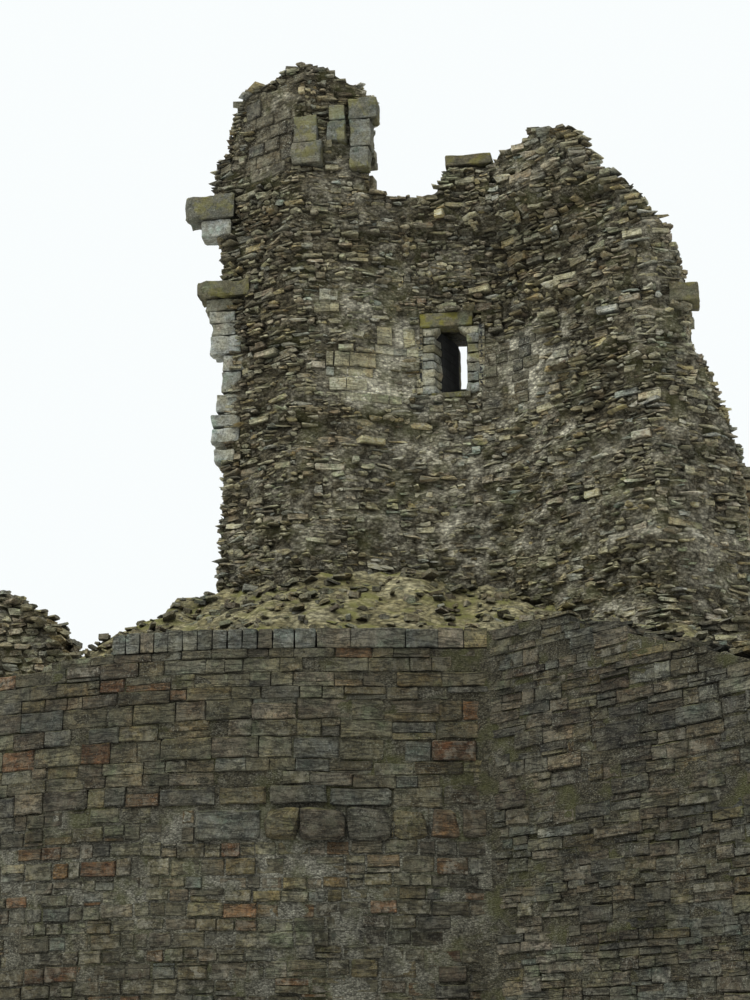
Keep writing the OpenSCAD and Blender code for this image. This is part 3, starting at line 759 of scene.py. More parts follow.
def lay(name, stones, core, finish, slot, *nodes, turn, size, seed, wave=0.0):
    """Makes a piece of laid stones and its mortar core.  wave lets the beds
    wander up and down, except in the last metre under the top"""
    data = bpy.data.meshes.new(name + "_places")
    rows = np.array(stones, float)
    for row in rows if wave else ():
        row[2] += wave*smooth(row[2], FOOT, FOOT - 1.4)*noise.noise(Vector((row[0]*0.6, row[1]*0.6, row[2]*0.8)))
    data.vertices.add(len(rows))
    data.vertices.foreach_set("co", rows[:, 0:3].ravel())
    for key, part in (("turn", rows[:, 3:6]), ("size", rows[:, 6:9])):
        data.attributes.new(key, "FLOAT_VECTOR", "POINT").data.foreach_set("vector", part.ravel())
    data.attributes.new("pick", "INT", "POINT").data.foreach_set("value", rows[:, 9].astype(int))
    for key, column in (("tint", 10), ("hue", 11), ("lime", 12)):
        store(data, key, rows[:, column])
    piece = new_object(name, data)
    grow(piece, laying, {
        "Shapes": shapes, "Core": core, "Own turn": turn, "Own size": size, "Seed": seed, "Finish": finish})
    bpy.data.objects.remove(core)
    finish_piece(piece, slot, *nodes)


# %% [markdown]
# ## How stones are laid
# Masons bring coursed walls up in level beds, so those are laid a course at
# a time along the wall line. The core of a thick wall was filled with
# whatever was at hand, so there each stone goes to the lowest hollow that
# takes it, which gives the broken bond of the real core. Either way, one
# stone is one row of numbers: place, turn, size, shape, tone, hue and lime.


# %% One stone
def stone(stones, at, run, z, size, kind, dice, proud, tilt, tint, hue, lime):
    """Adds one stone with its face at a point of the wall line.  proud is how
    far it stands out, and tilt how much it may lean about each axis"""
    x, y = np.array(at) - left_of(run)*proud
    turn = [dice.gauss(0, a) for a in tilt]
    stones.append((
        x + SHIFT[0], y + SHIFT[1], z, turn[0], turn[1], math.atan2(run[1], run[0]) + turn[2], *size,
        dice.choice(kind), min(max(tint, 0), 1), hue, min(max(lime, 0), 1)))


trial = []
stone(trial, (0, 0), (1, 0), 1, (0.4, 0.3, 0.2), BLOCKS, random.Random(1), 0, (0.03, 0.03, 0.03), 0.5, 0.2, 0.1)
print("one stone", [round(float(number), 2) for number in trial[0]])

# %% [markdown]
# A coursed wall is laid bed by bed. Stones are longer in thick beds, some
# places hold two thin stones instead of one, and a few stones are missing.
# Stretches that are kept for stones placed one by one are left out.


# %% Coursed walling
def level_beds(low, high, least, most, dice):
    """Heights of the beds of a coursed wall"""
    beds = [low]
    while beds[-1] < high - least:
        beds.append(min(beds[-1] + dice.uniform(least, most), high))
    beds[-1] = high
    return beds


def free_spans(start, end, kept):
    """What is left of a run when the kept stretches are taken out"""
    spans = []
    for left, right in sorted(kept):
        if left > start:
            spans.append((start, min(left, end)))
        start = max(start, right)
    return [(a, b) for a, b in [*spans, (start, end)] if b - a > 0.04]


def lay_courses(stones, line, beds, lengths, dice, look, there, joint, proud, deep, split, kept=(), missing=0.02):
    """Coursed walling along a line.  look(s, z) gives tint, hue and lime, and
    there(s, z) says whether the wall stands at a place.  joint and proud are
    ranges, and split and missing are shares of the stones"""
    for low, high in zip(beds, beds[1:]):
        middle_z = (low + high)/2
        for s, end in free_spans(0, line.length, [(a, b) for a, b, foot, top, *_ in kept if foot < middle_z < top]):
            while s < end - 0.02:
                long = dice.uniform(*lengths)*(0.75 + 1.1*(high - low))
                if end - s - long < lengths[0]*0.6:
                    long = end - s
                middle = s + long/2
                if there(middle, middle_z):
                    parts = [(low, high)]
                    if dice.random() < split and high - low > 0.16:
                        cut = low + (high - low)*dice.choice((0.25, 0.4, 0.5, 0.6, 0.75))
                        parts = [(low, cut), (cut, high)]
                    at, run = line.at(middle)
                    for foot, top in parts:
                        if dice.random() < missing:
                            continue
                        tint, hue, lime = look(middle, (foot + top)/2)
                        size = (long - dice.uniform(*joint), deep, top - foot - dice.uniform(*joint))
                        stone(stones, at, run, (foot + top)/2, size, BLOCKS, dice,
                              dice.uniform(*proud), (0.016, 0.012, 0.02), tint, hue, lime)
                s += long


print("beds of a wall two metres high", [round(z, 2) for z in level_beds(0, 2, 0.2, 0.36, random.Random(1))])

# %% [markdown]
# For the core, the wall is cut into narrow columns, and each remembers how
# high it has been built. The lowest hollow gets the next stone, as long as
# the hollow allows, and the columns under it rise. Hollows that are too
# narrow for a stone are filled with mortar.

# %% Random rubble
COLUMN, LEVEL = 0.03, 0.022


def lay_rubble(width, low, high, size_at, there, taken, dice):
    """Gives left, foot, length and height of each stone.  Columns whose tops
    differ by less than LEVEL count as one hollow"""
    cell = COLUMN
    count = int(width/cell)
    top = np.array([low + 0.05*dice.random() for _ in range(count)])
    out = []

    def step_over():
        for left, right, foot, head in taken:
            a, b = max(int(left/cell), 0), min(int(right/cell) + 1, count)
            if a < b:
                part = top[a:b]
                part[(part > foot - 0.03) & (part < head)] = head

    while True:
        i = int(top.argmin())
        floor = top[i]
        if floor >= high:
            return out
        a = b = i
        while a > 0 and top[a - 1] < floor + LEVEL:
            a -= 1
        while b < count - 1 and top[b + 1] < floor + LEVEL:
            b += 1
        room = (b - a + 1)*cell
        if not there(min((a + b)/2*cell, width), floor + 0.03) and room > 0.3:
            # nothing stands here, so look from closer cells
            gone = [j for j in range(a, b + 1) if not there(j*cell, floor + 0.03)]
            if gone:
                top[gone] = floor + 0.12
                continue
        least, most, thin, thick = size_at((a + b)/2*cell, floor)
        if room < max(0.075, 0.4*least):
            sides = [top[a - 1] if a > 0 else math.inf, top[b + 1] if b < count - 1 else math.inf]
            top[a:b + 1] = min(min(sides), floor + 0.1)
            step_over()
            continue
        long = dice.uniform(least, most)
        if room - long < 0.6*least:
            long = room if room < most*1.25 else room/2
        cells = max(int(round(long/cell)), 1)
        first = a if dice.random() < 0.5 else b + 1 - cells
        first = min(max(first, a), b)
        last = min(first + cells, b + 1)
        foot = float(top[first:last].max())
        tall = dice.uniform(thin, thick)
        for left, right, lowest, head in taken:
            if first*cell < right and last*cell > left and foot < lowest < foot + tall:
                tall = max(lowest - foot, 0.03)
        if there((first + last)/2*cell, foot + tall/2):
            out.append((first*cell, foot, (last - first)*cell, tall))
        top[first:last] = foot + tall
        step_over()


trial = lay_rubble(2, 0, 1, lambda s, z: (0.16, 0.46, 0.045, 0.09), lambda s, z: True, [], random.Random(1))
print("two square metres of core take", len(trial), "flags")

# %% [markdown]
# Broken ends are laid in thin rough beds along an outline that changes with
# height. On the tops lie loose stones. They are strewn in a jittered grid
# across the wall, which covers it evenly and still looks thrown.


# %% Broken ends and loose stones
def lay_ends(stones, outline_at, low, high, thickness, lengths, dice, look, proud, there=None, deep=0.34,
             tilt=(0.07, 0.06, 0.1)):
    """Beds of rough stones along an outline that changes with height"""
    z = low
    while z < high - 0.02:
        tall = min(dice.uniform(*thickness), high - z)
        for points in outline_at(z + tall/2):
            line = Line(points)
            s = -0.1*dice.random()
            while s < line.length - 0.05:
                long = min(dice.uniform(*lengths), line.length + 0.08*dice.random() - s)
                middle = s + long/2
                at, run = line.at(middle)
                if there is None or there(at, z + tall/2):
                    tint, hue, lime = look(float(at[0]), z)
                    stone(stones, at, run, z + tall/2 + dice.uniform(-0.012, 0.012),
                          (long*0.97, deep*dice.uniform(0.8, 1.2), tall*0.95), FLAGS, dice,
                          dice.uniform(*proud), tilt, tint, hue, lime)
                s += long
        z += tall


def strew(stones, x, y, z, sizes, dice, look, tilt=0.16):
    """A loose stone lying on a top"""
    tint, hue, lime = look(x, z)
    size = [dice.uniform(*span) for span in sizes]
    a = dice.uniform(0, 2*math.pi)
    stone(stones, (x, y), (math.cos(a), math.sin(a)), z, size, FLAGS, dice, 0, (tilt, tilt, 0), tint, hue, lime)


def inset_plan(depth):
    """The outline of the base stage moved inward, mitred at its corners"""
    out = []
    for i, point in enumerate(OUTLINE):
        a = left_of(unit(OUTLINE[i - 1], point))
        b = left_of(unit(point, OUTLINE[(i + 1) % len(OUTLINE)]))
        out.append(point + depth*(a + b)/(1 + float(a @ b)))
    return np.array(out)


def inside(polygon, x, y):
    """Counts the edges that a ray from the point crosses"""
    crossed = False
    for (ax, ay), (bx, by) in zip(polygon, np.roll(polygon, -1, axis=0)):
        if (ay > y) != (by > y) and x < ax + (bx - ax)*(y - ay)/(by - ay):
            crossed = not crossed
    return crossed


TOP_PLAN = inset_plan(0.28)


def strew_wall_top(stones, line, top_at, sizes, dice, look, every=0.34, rows=5, tilt=0.1):
    """Loose stones on the top of a base wall, kept off its edges"""
    across = int(line.length/every)
    for i in range(across):
        for j in range(rows):
            s = (i + dice.random())/across*line.length
            at, run = line.at(s)
            x, y = at + (0.1 + (j + dice.random())/rows*(WALL_T - 0.2))*left_of(run)
            if inside(TOP_PLAN, x, y):
                strew(stones, x, y, top_at(s) - 0.02, sizes, dice, look, tilt)


print("loose stones may lie inside an outline of", len(TOP_PLAN), "points")

# %% [markdown]
# ## Mortar cores
# Behind the stones of each wall lies its mortar. A core is a loft: rings of
# points at rising levels, closed at both ends. It sits a few centimetres
# behind the stones, so that it only shows in the joints and where a stone
# is missing.


# %% Lofted cores
def core_mesh(name, rings, finish, lime_at, strip=False):
    """A closed loft through rings of equal length, as a hidden helper object"""
    count = len(rings[0])
    points = [(x + SHIFT[0], y + SHIFT[1], z) for ring in rings for x, y, z in ring]
    faces = []
    for k in range(len(rings) - 1):
        for i in range(count):
            j = (i + 1) % count
            faces.append((k*count + i, k*count + j, (k + 1)*count + j, (k + 1)*count + i))
    for base in (0, (len(rings) - 1)*count):
        if strip:
            # the ring runs out along one face and back along the other
            faces += [(base + i, base + i + 1, base + count - 2 - i, base + count - 1 - i)
                      for i in range(count//2 - 1)]
        else:
            faces.append(tuple(base + i for i in range(count)))
    data = bpy.data.meshes.new(name)
    data.from_pydata(points, [], faces)
    mesh = bmesh.new()
    mesh.from_mesh(data)
    bmesh.ops.recalc_face_normals(mesh, faces=mesh.faces)
    mesh.to_mesh(data)
    mesh.free()
    data.materials.append(finish)
    store(data, "lime", [lime_at(p[0], p[2]) for ring in rings for p in ring])
    return bpy.data.objects.new(name, data)


# %% [markdown]
# The core of a base wall follows its line. Where two walls meet, the inner
# face is shorter or longer than the outer one, so the ends of a core follow
# the mitre. Its face wanders a little, because no joint is filled evenly.


# %% Cores of the base walls
CORE_GRID = 0.25


def wall_core(name, line, top_at, lime_at, recess, start=0.0, end=None, shifts=(0, 0)):
    """top_at(s) is the core's height, recess(s, z) is how far behind the wall
    line it lies, and shifts moves the ends of its inner face"""
    end = line.length if end is None else end
    count = max(2, int((end - start)/CORE_GRID))
    levels = int(FOOT/CORE_GRID)
    rings = []
    for k in range(levels + 1):
        outer, inner = [], []
        for i in range(count + 1):
            s = start + (end - start)*i/count
            z = top_at(s)*k/levels
            at, run = line.at(s)
            outer.append((*(at + left_of(run)*recess(s, z)), z))
            at, run = line.at(start + shifts[0] + (end - start - shifts[0] - shifts[1])*i/count)
            inner.append((*(at + left_of(run)*WALL_T), z))
        rings.append(outer + inner[::-1])
    return core_mesh(name, rings, joint_mortar, lime_at, strip=True)


def wander(u, v, along, up, seed):
    """A value that drifts between -1 and 1, so many waves to the metre"""
    return noise.noise(Vector((u*along, v*up, seed)))


def uneven(depth, change, seed, corner=-1.0):
    """A recess that wanders round a mean depth behind the wall line.  At an
    inner corner the mortar stands out a little, as a fillet"""
    def recess(s, z):
        if abs(s - corner) < 0.2:
            return -0.03
        return max(0.004, depth + change*wander(s, z, 1.7, 2.3, seed) + 0.5*change*wander(s, z, 5, 6, seed))
    return recess


def ragged(top_at, dice):
    """Says where a wall has stones: here and there one of the last bed is gone"""
    return lambda s, z: z < top_at(s) and (z < top_at(s) - 0.34 or dice.random() > 0.3)


def mitre_shift(before, at, after):
    """How much later the inner face starts than the outer face at a corner"""
    a, b = unit(before, at), unit(at, after)
    turn = math.atan2(a[0]*b[1] - a[1]*b[0], float(a @ b))
    return WALL_T*math.tan(turn/2)


LEFT_SHIFT = mitre_shift((LEFT_X, REAR), ARC[0], ARC[1])
CORNER_SHIFT = mitre_shift(ARC[-1], INNER_CORNER, SPUR_END)
SPUR_SHIFT = mitre_shift(INNER_CORNER, SPUR_END, (RIGHT_X, REAR))
print("inner faces shift by", [round(v, 2) for v in (LEFT_SHIFT, CORNER_SHIFT, SPUR_SHIFT)])

# %% [markdown]
# ## The front of the base stage
# The round front is coursed sandstone in beds of 0.16 to 0.37 m, dark with
# soot and damp. About six metres up runs a band of much bigger stones, blue
# slate and reddish boulders among them. Below the band the joints are full
# of pale mortar, and above it they are thin and dark. The bed heights are
# read off the photograph, and the big stones and the few bright ones are
# placed one by one.

# %% Beds and big stones of the front
FRONT_BEDS = [9.03, 8.87, 8.61, 8.36, 8.14, 7.78, 7.49, 7.12, 6.90, 6.69, 6.34, 5.78,
              5.53, 5.22, 5.01, 4.80, 4.55, 4.33, 4.05, 3.82, 3.52, 3.27, 3.02, 2.74, 2.49, 2.2,
              1.95, 1.66, 1.4, 1.12, 0.86, 0.57, 0.3, 0.0][::-1]
BAND = (5.78, 6.34)
# left, right, foot, top, tone, hue, how far it stands out
BIG_STONES = [
    (7.66, 8.79, 5.79, 6.33, 0.44, 0.58, 0.03), (8.82, 9.42, 5.78, 6.32, 0.40, 0.86, 0.10),
    (9.45, 10.18, 5.79, 6.33, 0.34, 0.70, 0.17), (10.22, 10.94, 5.78, 6.34, 0.26, 0.50, 0.12),
    (10.98, 11.54, 5.79, 6.3, 0.42, 0.86, 0.06), (11.58, 12.08, 5.79, 6.3, 0.36, 0.91, 0.06),
    (12.12, 12.52, 5.79, 6.3, 0.34, 0.76, 0.03),
    (7.02, 8.02, 6.36, 6.67, 0.32, 0.60, 0.03), (8.04, 8.88, 6.36, 6.67, 0.36, 0.84, 0.02),
    (8.91, 9.88, 6.35, 6.68, 0.48, 0.56, 0.04), (9.9, 10.95, 6.36, 6.68, 0.46, 0.60, 0.03),
    # bright single stones: red and orange ones, and pale ones with lichen
    (5.84, 6.32, 8.37, 8.6, 0.33, 0.94, 0.02), (5.09, 5.40, 5.24, 5.51, 0.32, 1.0, 0.02),
    (5.62, 6.30, 5.24, 5.51, 0.25, 0.93, 0.02), (4.35, 4.85, 5.55, 5.76, 0.36, 0.9, 0.02),
    (8.1, 8.42, 8.62, 8.86, 0.62, 0.1, 0.01), (7.15, 7.45, 8.15, 8.35, 0.36, 0.92, 0.01),
]
print("front", len(FRONT_BEDS) - 1, "beds,", len(BIG_STONES), "stones placed by hand")

# %% [markdown]
# The walls are not dark all over: rain, soot and lime make soft areas, a
# metre or more across. Each is one row of numbers, and the same areas also
# make the mortar pale or dark.

# %% How the front stones look
FULL_JOINTS_TO = 5.75
# soft dark and light areas: s, z, half width, half height, change of tone
FRONT_AREAS = [
    (12.2, 4.8, 0.9, 4.5, -0.18), (7.5, 2.0, 9.0, 0.85, -0.19), (5.6, 3.7, 2.5, 1.1, -0.20),
    (9.6, 7.4, 2.0, 1.2, 0.05), (10.2, 5.0, 1.4, 0.7, 0.08), (5.6, 6.5, 1.2, 0.9, -0.13),
    (11.5, 3.7, 1.1, 1.0, -0.14)]
dice = random.Random(3)


def soft_areas(table, u, v):
    """Sum of soft spots at a place: each has a centre, half sizes and a change"""
    return sum(change*math.exp(-((u - cu)/ru)**2 - ((v - cv)/rv)**2) for cu, cv, ru, rv, change in table)


def front_look(s, z):
    """Tone, hue and lime of a front stone: brown and dark above, greyer and limier below"""
    drift = 0.08*wander(s, z, 0.5, 0.6, 9) + soft_areas(FRONT_AREAS, s, z)
    low = z < FULL_JOINTS_TO
    tint = dice.gauss(0.40, 0.095) + drift + 0.03*low
    hue = 0.955*dice.random()**(0.85 if low else 1.05)
    lime = max(0, dice.gauss(0.06, 0.1)) + (0.25*dice.random() if low else 0)
    return tint, hue, lime


FRONT_STEPS = np.linspace(0, front_line.length, 60)
FRONT_XS = [front_line.at(s)[0][0] for s in FRONT_STEPS]


def front_lime(x, z):
    s = float(np.interp(x - SHIFT[0], FRONT_XS, FRONT_STEPS))
    return (0.75 if z < BAND[1] else 0.12) + 2.4*soft_areas(FRONT_AREAS, s, z)


def front_recess(s, z):
    """Full joints below the band, open ones above"""
    low = z < BAND[1]
    depth, change = (0.016, 0.03) if low else (0.024, 0.036)
    return uneven(depth, change, 1, front_line.length)(s, z)


print("tone change in the damp corner", round(soft_areas(FRONT_AREAS, 12.2, 4.8), 2))

# %% [markdown]
# The front is laid in one go and then cut in two where the top course
# changes height, as in the CAD model. Big stones of the band that stand well
# out are boulders, all others are squared blocks.

# %% Lay the front
# the top course is lower up to the first coping stone
LOW_DEGREES = 25.2
LEFT_PART = math.radians(LOW_DEGREES)*FRONT_R
FRONT_TOPS = (8.85, 9.03)


def front_top(s):
    return FRONT_TOPS[0] if s < LEFT_PART else FRONT_TOPS[1]


below = [b for b in FRONT_BEDS if b <= BAND[0]]
above = [b for b in FRONT_BEDS if b >= BAND[1]]
band = [BAND[0], sum(BAND)/2, BAND[1]]
walling = []
for beds, lengths, joint in (
        (below, (0.22, 0.62), (-0.004, 0.034)), (band, (0.22, 0.6), (0.0, 0.03)),
        (above, (0.28, 0.86), (-0.028, 0.008))):
    lay_courses(walling, front_line, beds, lengths, dice, front_look, lambda s, z: z < front_top(s), joint,
                (-0.02, 0.026), 0.28, 0.16, BIG_STONES, 0.03)
for left, right, foot, head, tint, hue, proud in BIG_STONES:
    at, run = front_line.at((left + right)/2)
    boulder = foot < BAND[1] and proud > 0.03
    grown = 1.04 if boulder else 0.99
    stone(walling, at, run, (foot + head)/2, ((right - left)*grown, 0.44, (head - foot)*grown),
          BOULDERS if boulder else BLOCKS, dice, proud, (0.01, 0.015, 0.01), tint, hue, 0.1)
split_x = float(front_line.at(LEFT_PART)[0][0] + SHIFT[0])
for name, nodes, start, end, shifts in (
        ("front_left_walling", ["front_left"], 0, LEFT_PART, (LEFT_SHIFT, 0)),
        ("front_walling", ["front_step", "front_middle", "front_straight"], LEFT_PART, front_line.length,
         (0, CORNER_SHIFT))):
    part = [row for row in walling if (row[0] < split_x) == (start == 0)]
    core = wall_core(name + "_core", front_line, lambda s: front_top((start + end)/2) - 0.02, front_lime,
                     front_recess, start, end, shifts)
    lay(name, part, core, coursed_stone, "coursed_stone", *nodes, turn=0.006, size=0.015, seed=3, wave=0.08)

# %% [markdown]
# ## The coping
# Along the front runs a course of dressed stones: eleven narrow ones set on
# end, then longer ones laid flat. Dressed stones keep their CAD boxes, but a
# real one has lost its sharp arrises. A copy of the CAD mesh is merged,
# bevelled, cut finer and pushed about by noise, which wears it down. Its
# points are put in order, so that each run gives a stone the same numbers.

# %% Worn copies of dressed stones
LONGEST_EDGE, MOST_LIME = 0.16, 0.1


def in_order(mesh):
    """Sorts points, edges and faces by place, because a bevel leaves them in
    a new order each run"""
    def place(part):
        points = getattr(part, "verts", [part])
        return [sum(v.co[axis] for v in points)/len(points) for axis in range(3)]

    for parts in (mesh.verts, mesh.edges, mesh.faces):
        for number, part in enumerate(sorted(parts, key=place)):
            part.index = number
        parts.sort()


def worn(name, node, slot, finish, dice, bevel, rough, tint, hues):
    """A weathered copy that stands for a CAD node; tint is a mean and a
    spread, hues a range"""
    mesh = bmesh.new()
    mesh.from_mesh(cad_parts[node].data)
    bmesh.ops.remove_doubles(mesh, verts=mesh.verts, dist=0.0002)
    bmesh.ops.dissolve_limit(mesh, angle_limit=math.radians(1), verts=mesh.verts, edges=mesh.edges)
    bmesh.ops.recalc_face_normals(mesh, faces=mesh.faces)
    bmesh.ops.bevel(mesh, geom=list(mesh.edges), offset=bevel, segments=2, profile=0.6, affect="EDGES",
                    clamp_overlap=True)
    in_order(mesh)
    for _ in range(3):
        long = [e for e in mesh.edges if e.calc_length() > LONGEST_EDGE]
        if not long:
            break
        bmesh.ops.subdivide_edges(mesh, edges=long, cuts=1, use_grid_fill=True)
    mesh.normal_update()
    for v in mesh.verts:
        push = rough*(1.3*noise.noise(v.co*2.3) + noise.noise(v.co*6.1) + 0.5*noise.noise(v.co*17))
        v.co += v.normal*push
    in_order(mesh)
    # every loose stone of the mesh gets its own numbers
    numbers = {}
    for first in mesh.verts:
        if first not in numbers:
            own = (dice.gauss(*tint), dice.uniform(*hues), MOST_LIME*dice.random())
            stack = [first]
            while stack:
                v = stack.pop()
                numbers[v] = own
                stack += [w for e in v.link_edges if (w := e.other_vert(v)) not in numbers]
    numbers = [numbers[v] for v in mesh.verts]
    data = mesh_data(name, mesh)
    for column, key in enumerate(("tint", "hue", "lime")):
        store(data, key, [own[column] for own in numbers])
    data.materials.append(finish)
    finish_piece(new_object(name, data), slot, node)


dice = random.Random(8)
for node, tint, hues in (("coping_uprights", (0.58, 0.06), (0.48, 0.8)), ("coping_long", (0.60, 0.05), (0.5, 0.9))):
    worn(node + "_worn", node, "coping_stone", coursed_stone, dice, 0.022, 0.012, tint, hues)

# %% [markdown]
# ## The spur wall
# The spur comes forward on the right. It is rougher than the front: its
# stones are smaller, darker and more purple, its end and its top are torn
# away in steps, and thick and thin beds follow each other without order.
# The helper for coursed walls does this too, if the bed heights are drawn
# from two sizes and every third stone is split into two thin ones.

# %% Spur walling
dice = random.Random(21)
# height of the torn end, highest point, and the share of the spur that stands
SPUR_LOW, SPUR_HIGH, SPUR_WHOLE = 7.7, 9.38, 0.94
SPUR_AREAS = [(0.8, 3.6, 1.1, 1.7, 0.20), (2.9, 6.5, 1.0, 0.9, -0.17), (3.4, 8.2, 1.2, 0.5, 0.06),
              (2.4, 7.6, 0.9, 0.6, -0.12)]


def spur_top(s):
    """Height of the torn top along the spur"""
    share = s/spur_line.length
    if share > SPUR_WHOLE:
        return SPUR_LOW
    return min(SPUR_LOW + 0.28*(SPUR_WHOLE - share)/0.13 + 0.14, SPUR_HIGH)


def spur_look(s, z):
    drift = 0.09*wander(s, z, 0.6, 0.7, 21) + soft_areas(SPUR_AREAS, s, z)
    pale = 0.05*smooth(z, 8.1, 9.0)
    tint = dice.gauss(0.37, 0.10) + drift + pale
    hue = 0.40 + 0.42*dice.random()
    return tint, hue, max(0, dice.gauss(0.06, 0.12)) + 1.5*pale


beds = [0.0]
while beds[-1] < 9.4:
    beds.append(beds[-1] + (dice.uniform(0.18, 0.30) if dice.random() < 0.6 else dice.uniform(0.09, 0.16)))
stones = []
lay_courses(stones, spur_line, beds, (0.26, 0.8), dice, spur_look, lambda s, z: z < spur_top(s) - 0.02,
            (-0.03, 0.008), (-0.022, 0.022), 0.3, 0.34, missing=0.03)
strew_wall_top(stones, spur_line, lambda s: spur_top(s) - 0.02, [(0.2, 0.55), (0.2, 0.45), (0.06, 0.15)],
               dice, spur_look, 0.28, 7, tilt=0.16)
core = wall_core("spur_core", spur_line, lambda s: spur_top(s) - 0.06, lambda x, z: 0.1, uneven(0.026, 0.04, 2, 0.0),
                 shifts=(CORNER_SHIFT, SPUR_SHIFT))
lay("spur_walling", stones, core, dark_stone, "dark_rubble", "spur_wall", turn=0.012, size=0.02, seed=5, wave=0.16)

# %% [markdown]
# ## Sides and rear of the base stage
# The photograph hides these walls. They repeat the coursed walling of the
# front in plainer form: level beds of squared stone and the same mortar. The
# right wall steps down toward the broken end of the spur.

# %% Side and rear walling
dice = random.Random(34)


def plain_look(s, z):
    drift = 0.12*wander(s, z, 0.45, 0.55, 41)
    return dice.gauss(0.40, 0.08) + drift, 0.88*dice.random()**1.4, max(0, dice.gauss(0.1, 0.12))


def right_top(s):
    y = SPUR_END[1] + s
    return SPUR_LOW + 1.3*smooth(y, -2.2, 0.8) + 0.1*noise.noise(Vector((y*2, 0, 3)))


def plain_wall(name, line, top_at, nodes, seed, shifts, slot="coursed_stone"):
    stones = []
    lay_courses(stones, line, level_beds(0, FOOT, 0.2, 0.36, dice), (0.28, 0.76), dice, plain_look,
                ragged(top_at, dice), (-0.006, 0.024), (-0.02, 0.026), 0.28, 0.14)
    strew_wall_top(stones, line, top_at, [(0.2, 0.5), (0.2, 0.42), (0.06, 0.14)], dice, plain_look)
    core = wall_core(name + "_core", line, lambda s: top_at(s) - 0.06, lambda x, z: 0.2, uneven(0.035, 0.04, seed),
                     shifts=shifts)
    lay(name, stones, core, plain_stone, slot, *nodes, turn=0.01, size=0.02, seed=seed, wave=0.08)


plain_wall("right_walling", right_line, right_top, ["right_side"], 7, (SPUR_SHIFT, WALL_T), "dark_rubble")
plain_wall("rear_walling", rear_line, lambda s: FOOT, ["rear_left", "rear_middle", "rear_right"], 9, (WALL_T, WALL_T))
plain_wall("left_walling", left_line, lambda s: FOOT, ["left_side"], 11, (WALL_T, LEFT_SHIFT))

# %% [markdown]
# ## The tall wall's outline
# The tall wall is described by height: how far its broken ends reach at each
# level, and how its bare inner face bulges and hollows in plan. These are
# the same tables as in the CAD model.

# %% The tall wall in plan and in height
HEAD = 20.9
# the bay with the window, the foot of the beds that overhang, and the window's passage
BAY_LEFT, BAY_RIGHT, BEDS_FOOT = -0.6, 3.8, 20.1
PASSAGE_LEFT, PASSAGE_RIGHT, PASSAGE_FOOT, PASSAGE_HEAD = 0.72, 2.08, 16.22, 18.06
FACE = np.array([
    (-4.6, 4.5), (-3.4, 4.0), (-1.85, 3.25), (-0.4, 3.6), (0.4, 4.1), (2.4, 4.1),
    (3.4, 3.5), (5.0, 2.5), (5.8, 2.05), (6.6, 2.6), (7.6, 3.6)])
LEFT_END = np.array([
    (9, -3.85), (12.7, -3.72), (14.5, -3.7), (16.3, -3.62), (17.2, -3.5), (18.3, -3.7),
    (19.7, -3.85), (20.9, -4.0)])
RIGHT_END = np.array([
    (9, 7.6), (11.7, 7.5), (14.2, 7.45), (15.1, 7.15), (16.1, 6.8), (16.5, 6.45), (17.5, 6.6),
    (18.2, 6.43), (18.95, 6.18), (19.45, 5.8), (19.9, 5.38), (20.3, 4.98), (20.9, 4.6)])
TURRET_LEFT = np.array([
    (20.9, -4.05), (22.2, -4.08), (22.53, -3.75), (23.24, -3.64), (23.63, -3.48), (23.83, -3.3),
    (23.92, -2.9), (24.04, -2.4), (24.15, -2.15)])
TURRET_RIGHT = np.array([
    (20.9, -0.35), (22.0, -0.35), (22.69, -0.24), (23.14, -0.18), (23.4, -0.36), (23.63, -0.59),
    (23.84, -1.03), (24.05, -1.44), (24.15, -1.6)])
HUMP_LEFT = np.array([(20.9, 2.42), (21.62, 2.43), (21.74, 2.7), (21.8, 3.1), (21.93, 3.3)])
HUMP_RIGHT = np.array([(20.9, 4.6), (21.22, 4.48), (21.53, 4.33), (21.71, 4.08), (21.8, 3.8), (21.93, 3.6)])
NOTCH_LEFT = np.array([(20.9, 1.1), (21.56, 1.4)])
NOTCH_RIGHT = np.array([(20.9, 2.42), (21.56, 2.42)])
# name: foot, top, left end, right end, how far the right end falls back
MASSES = {
    "wall": (FOOT, HEAD, LEFT_END, RIGHT_END, 0),
    "turret": (HEAD, 24.15, TURRET_LEFT, TURRET_RIGHT, 0.4),
    "notch": (HEAD, 21.56, NOTCH_LEFT, NOTCH_RIGHT, 0),
    "hump": (HEAD, 21.93, HUMP_LEFT, HUMP_RIGHT, 0),
}


def read(table, at):
    return float(np.interp(at, table[:, 0], table[:, 1]))


def mass_at(x, z):
    """The mass of tall wall at this place, or None"""
    for name, (foot, top, left, right, _) in MASSES.items():
        if foot <= z < top and read(left, z) < x < read(right, z):
            return name
    return None


print("masses of the tall wall", {name: top for name, (_, top, *_) in MASSES.items()})

# %% [markdown]
# Three things shape the bare face: the hollows and bulges in plan, the beds
# that overhang under the wall head, and a slow relief. Where squared facing
# is left, the relief fades out, because a finished face is flat.


# %% The face of the tall wall
def overhang(x, z):
    """How far the beds under the wall head stand out over the face"""
    out = 0.17 + 0.16*smooth(x, 0.9, 1.5)
    out *= smooth(x, -0.75, -0.45)*smooth(z, 19.9, 20.2)
    if z > HEAD:
        out = 0.2*smooth(x, 1.0, 1.2)
    return out


# what is left of the squared facing: left, right, foot, top, lowest and
# highest bed, shortest and longest stone, tone
PATCHES = [
    (-1.32, 0.25, 15.95, 17.1, 0.22, 0.34, 0.24, 0.5, 0.52), (-0.3, 0.66, 17.1, 17.8, 0.2, 0.34, 0.26, 0.5, 0.54),
    (-1.42, -0.85, 18.0, 18.6, 0.26, 0.32, 0.26, 0.5, 0.52), (2.16, 3.3, 15.75, 17.25, 0.2, 0.32, 0.26, 0.46, 0.0),
    (-3.1, -2.03, 21.5, 23.6, 0.3, 0.35, 0.36, 0.56, -0.08),
]


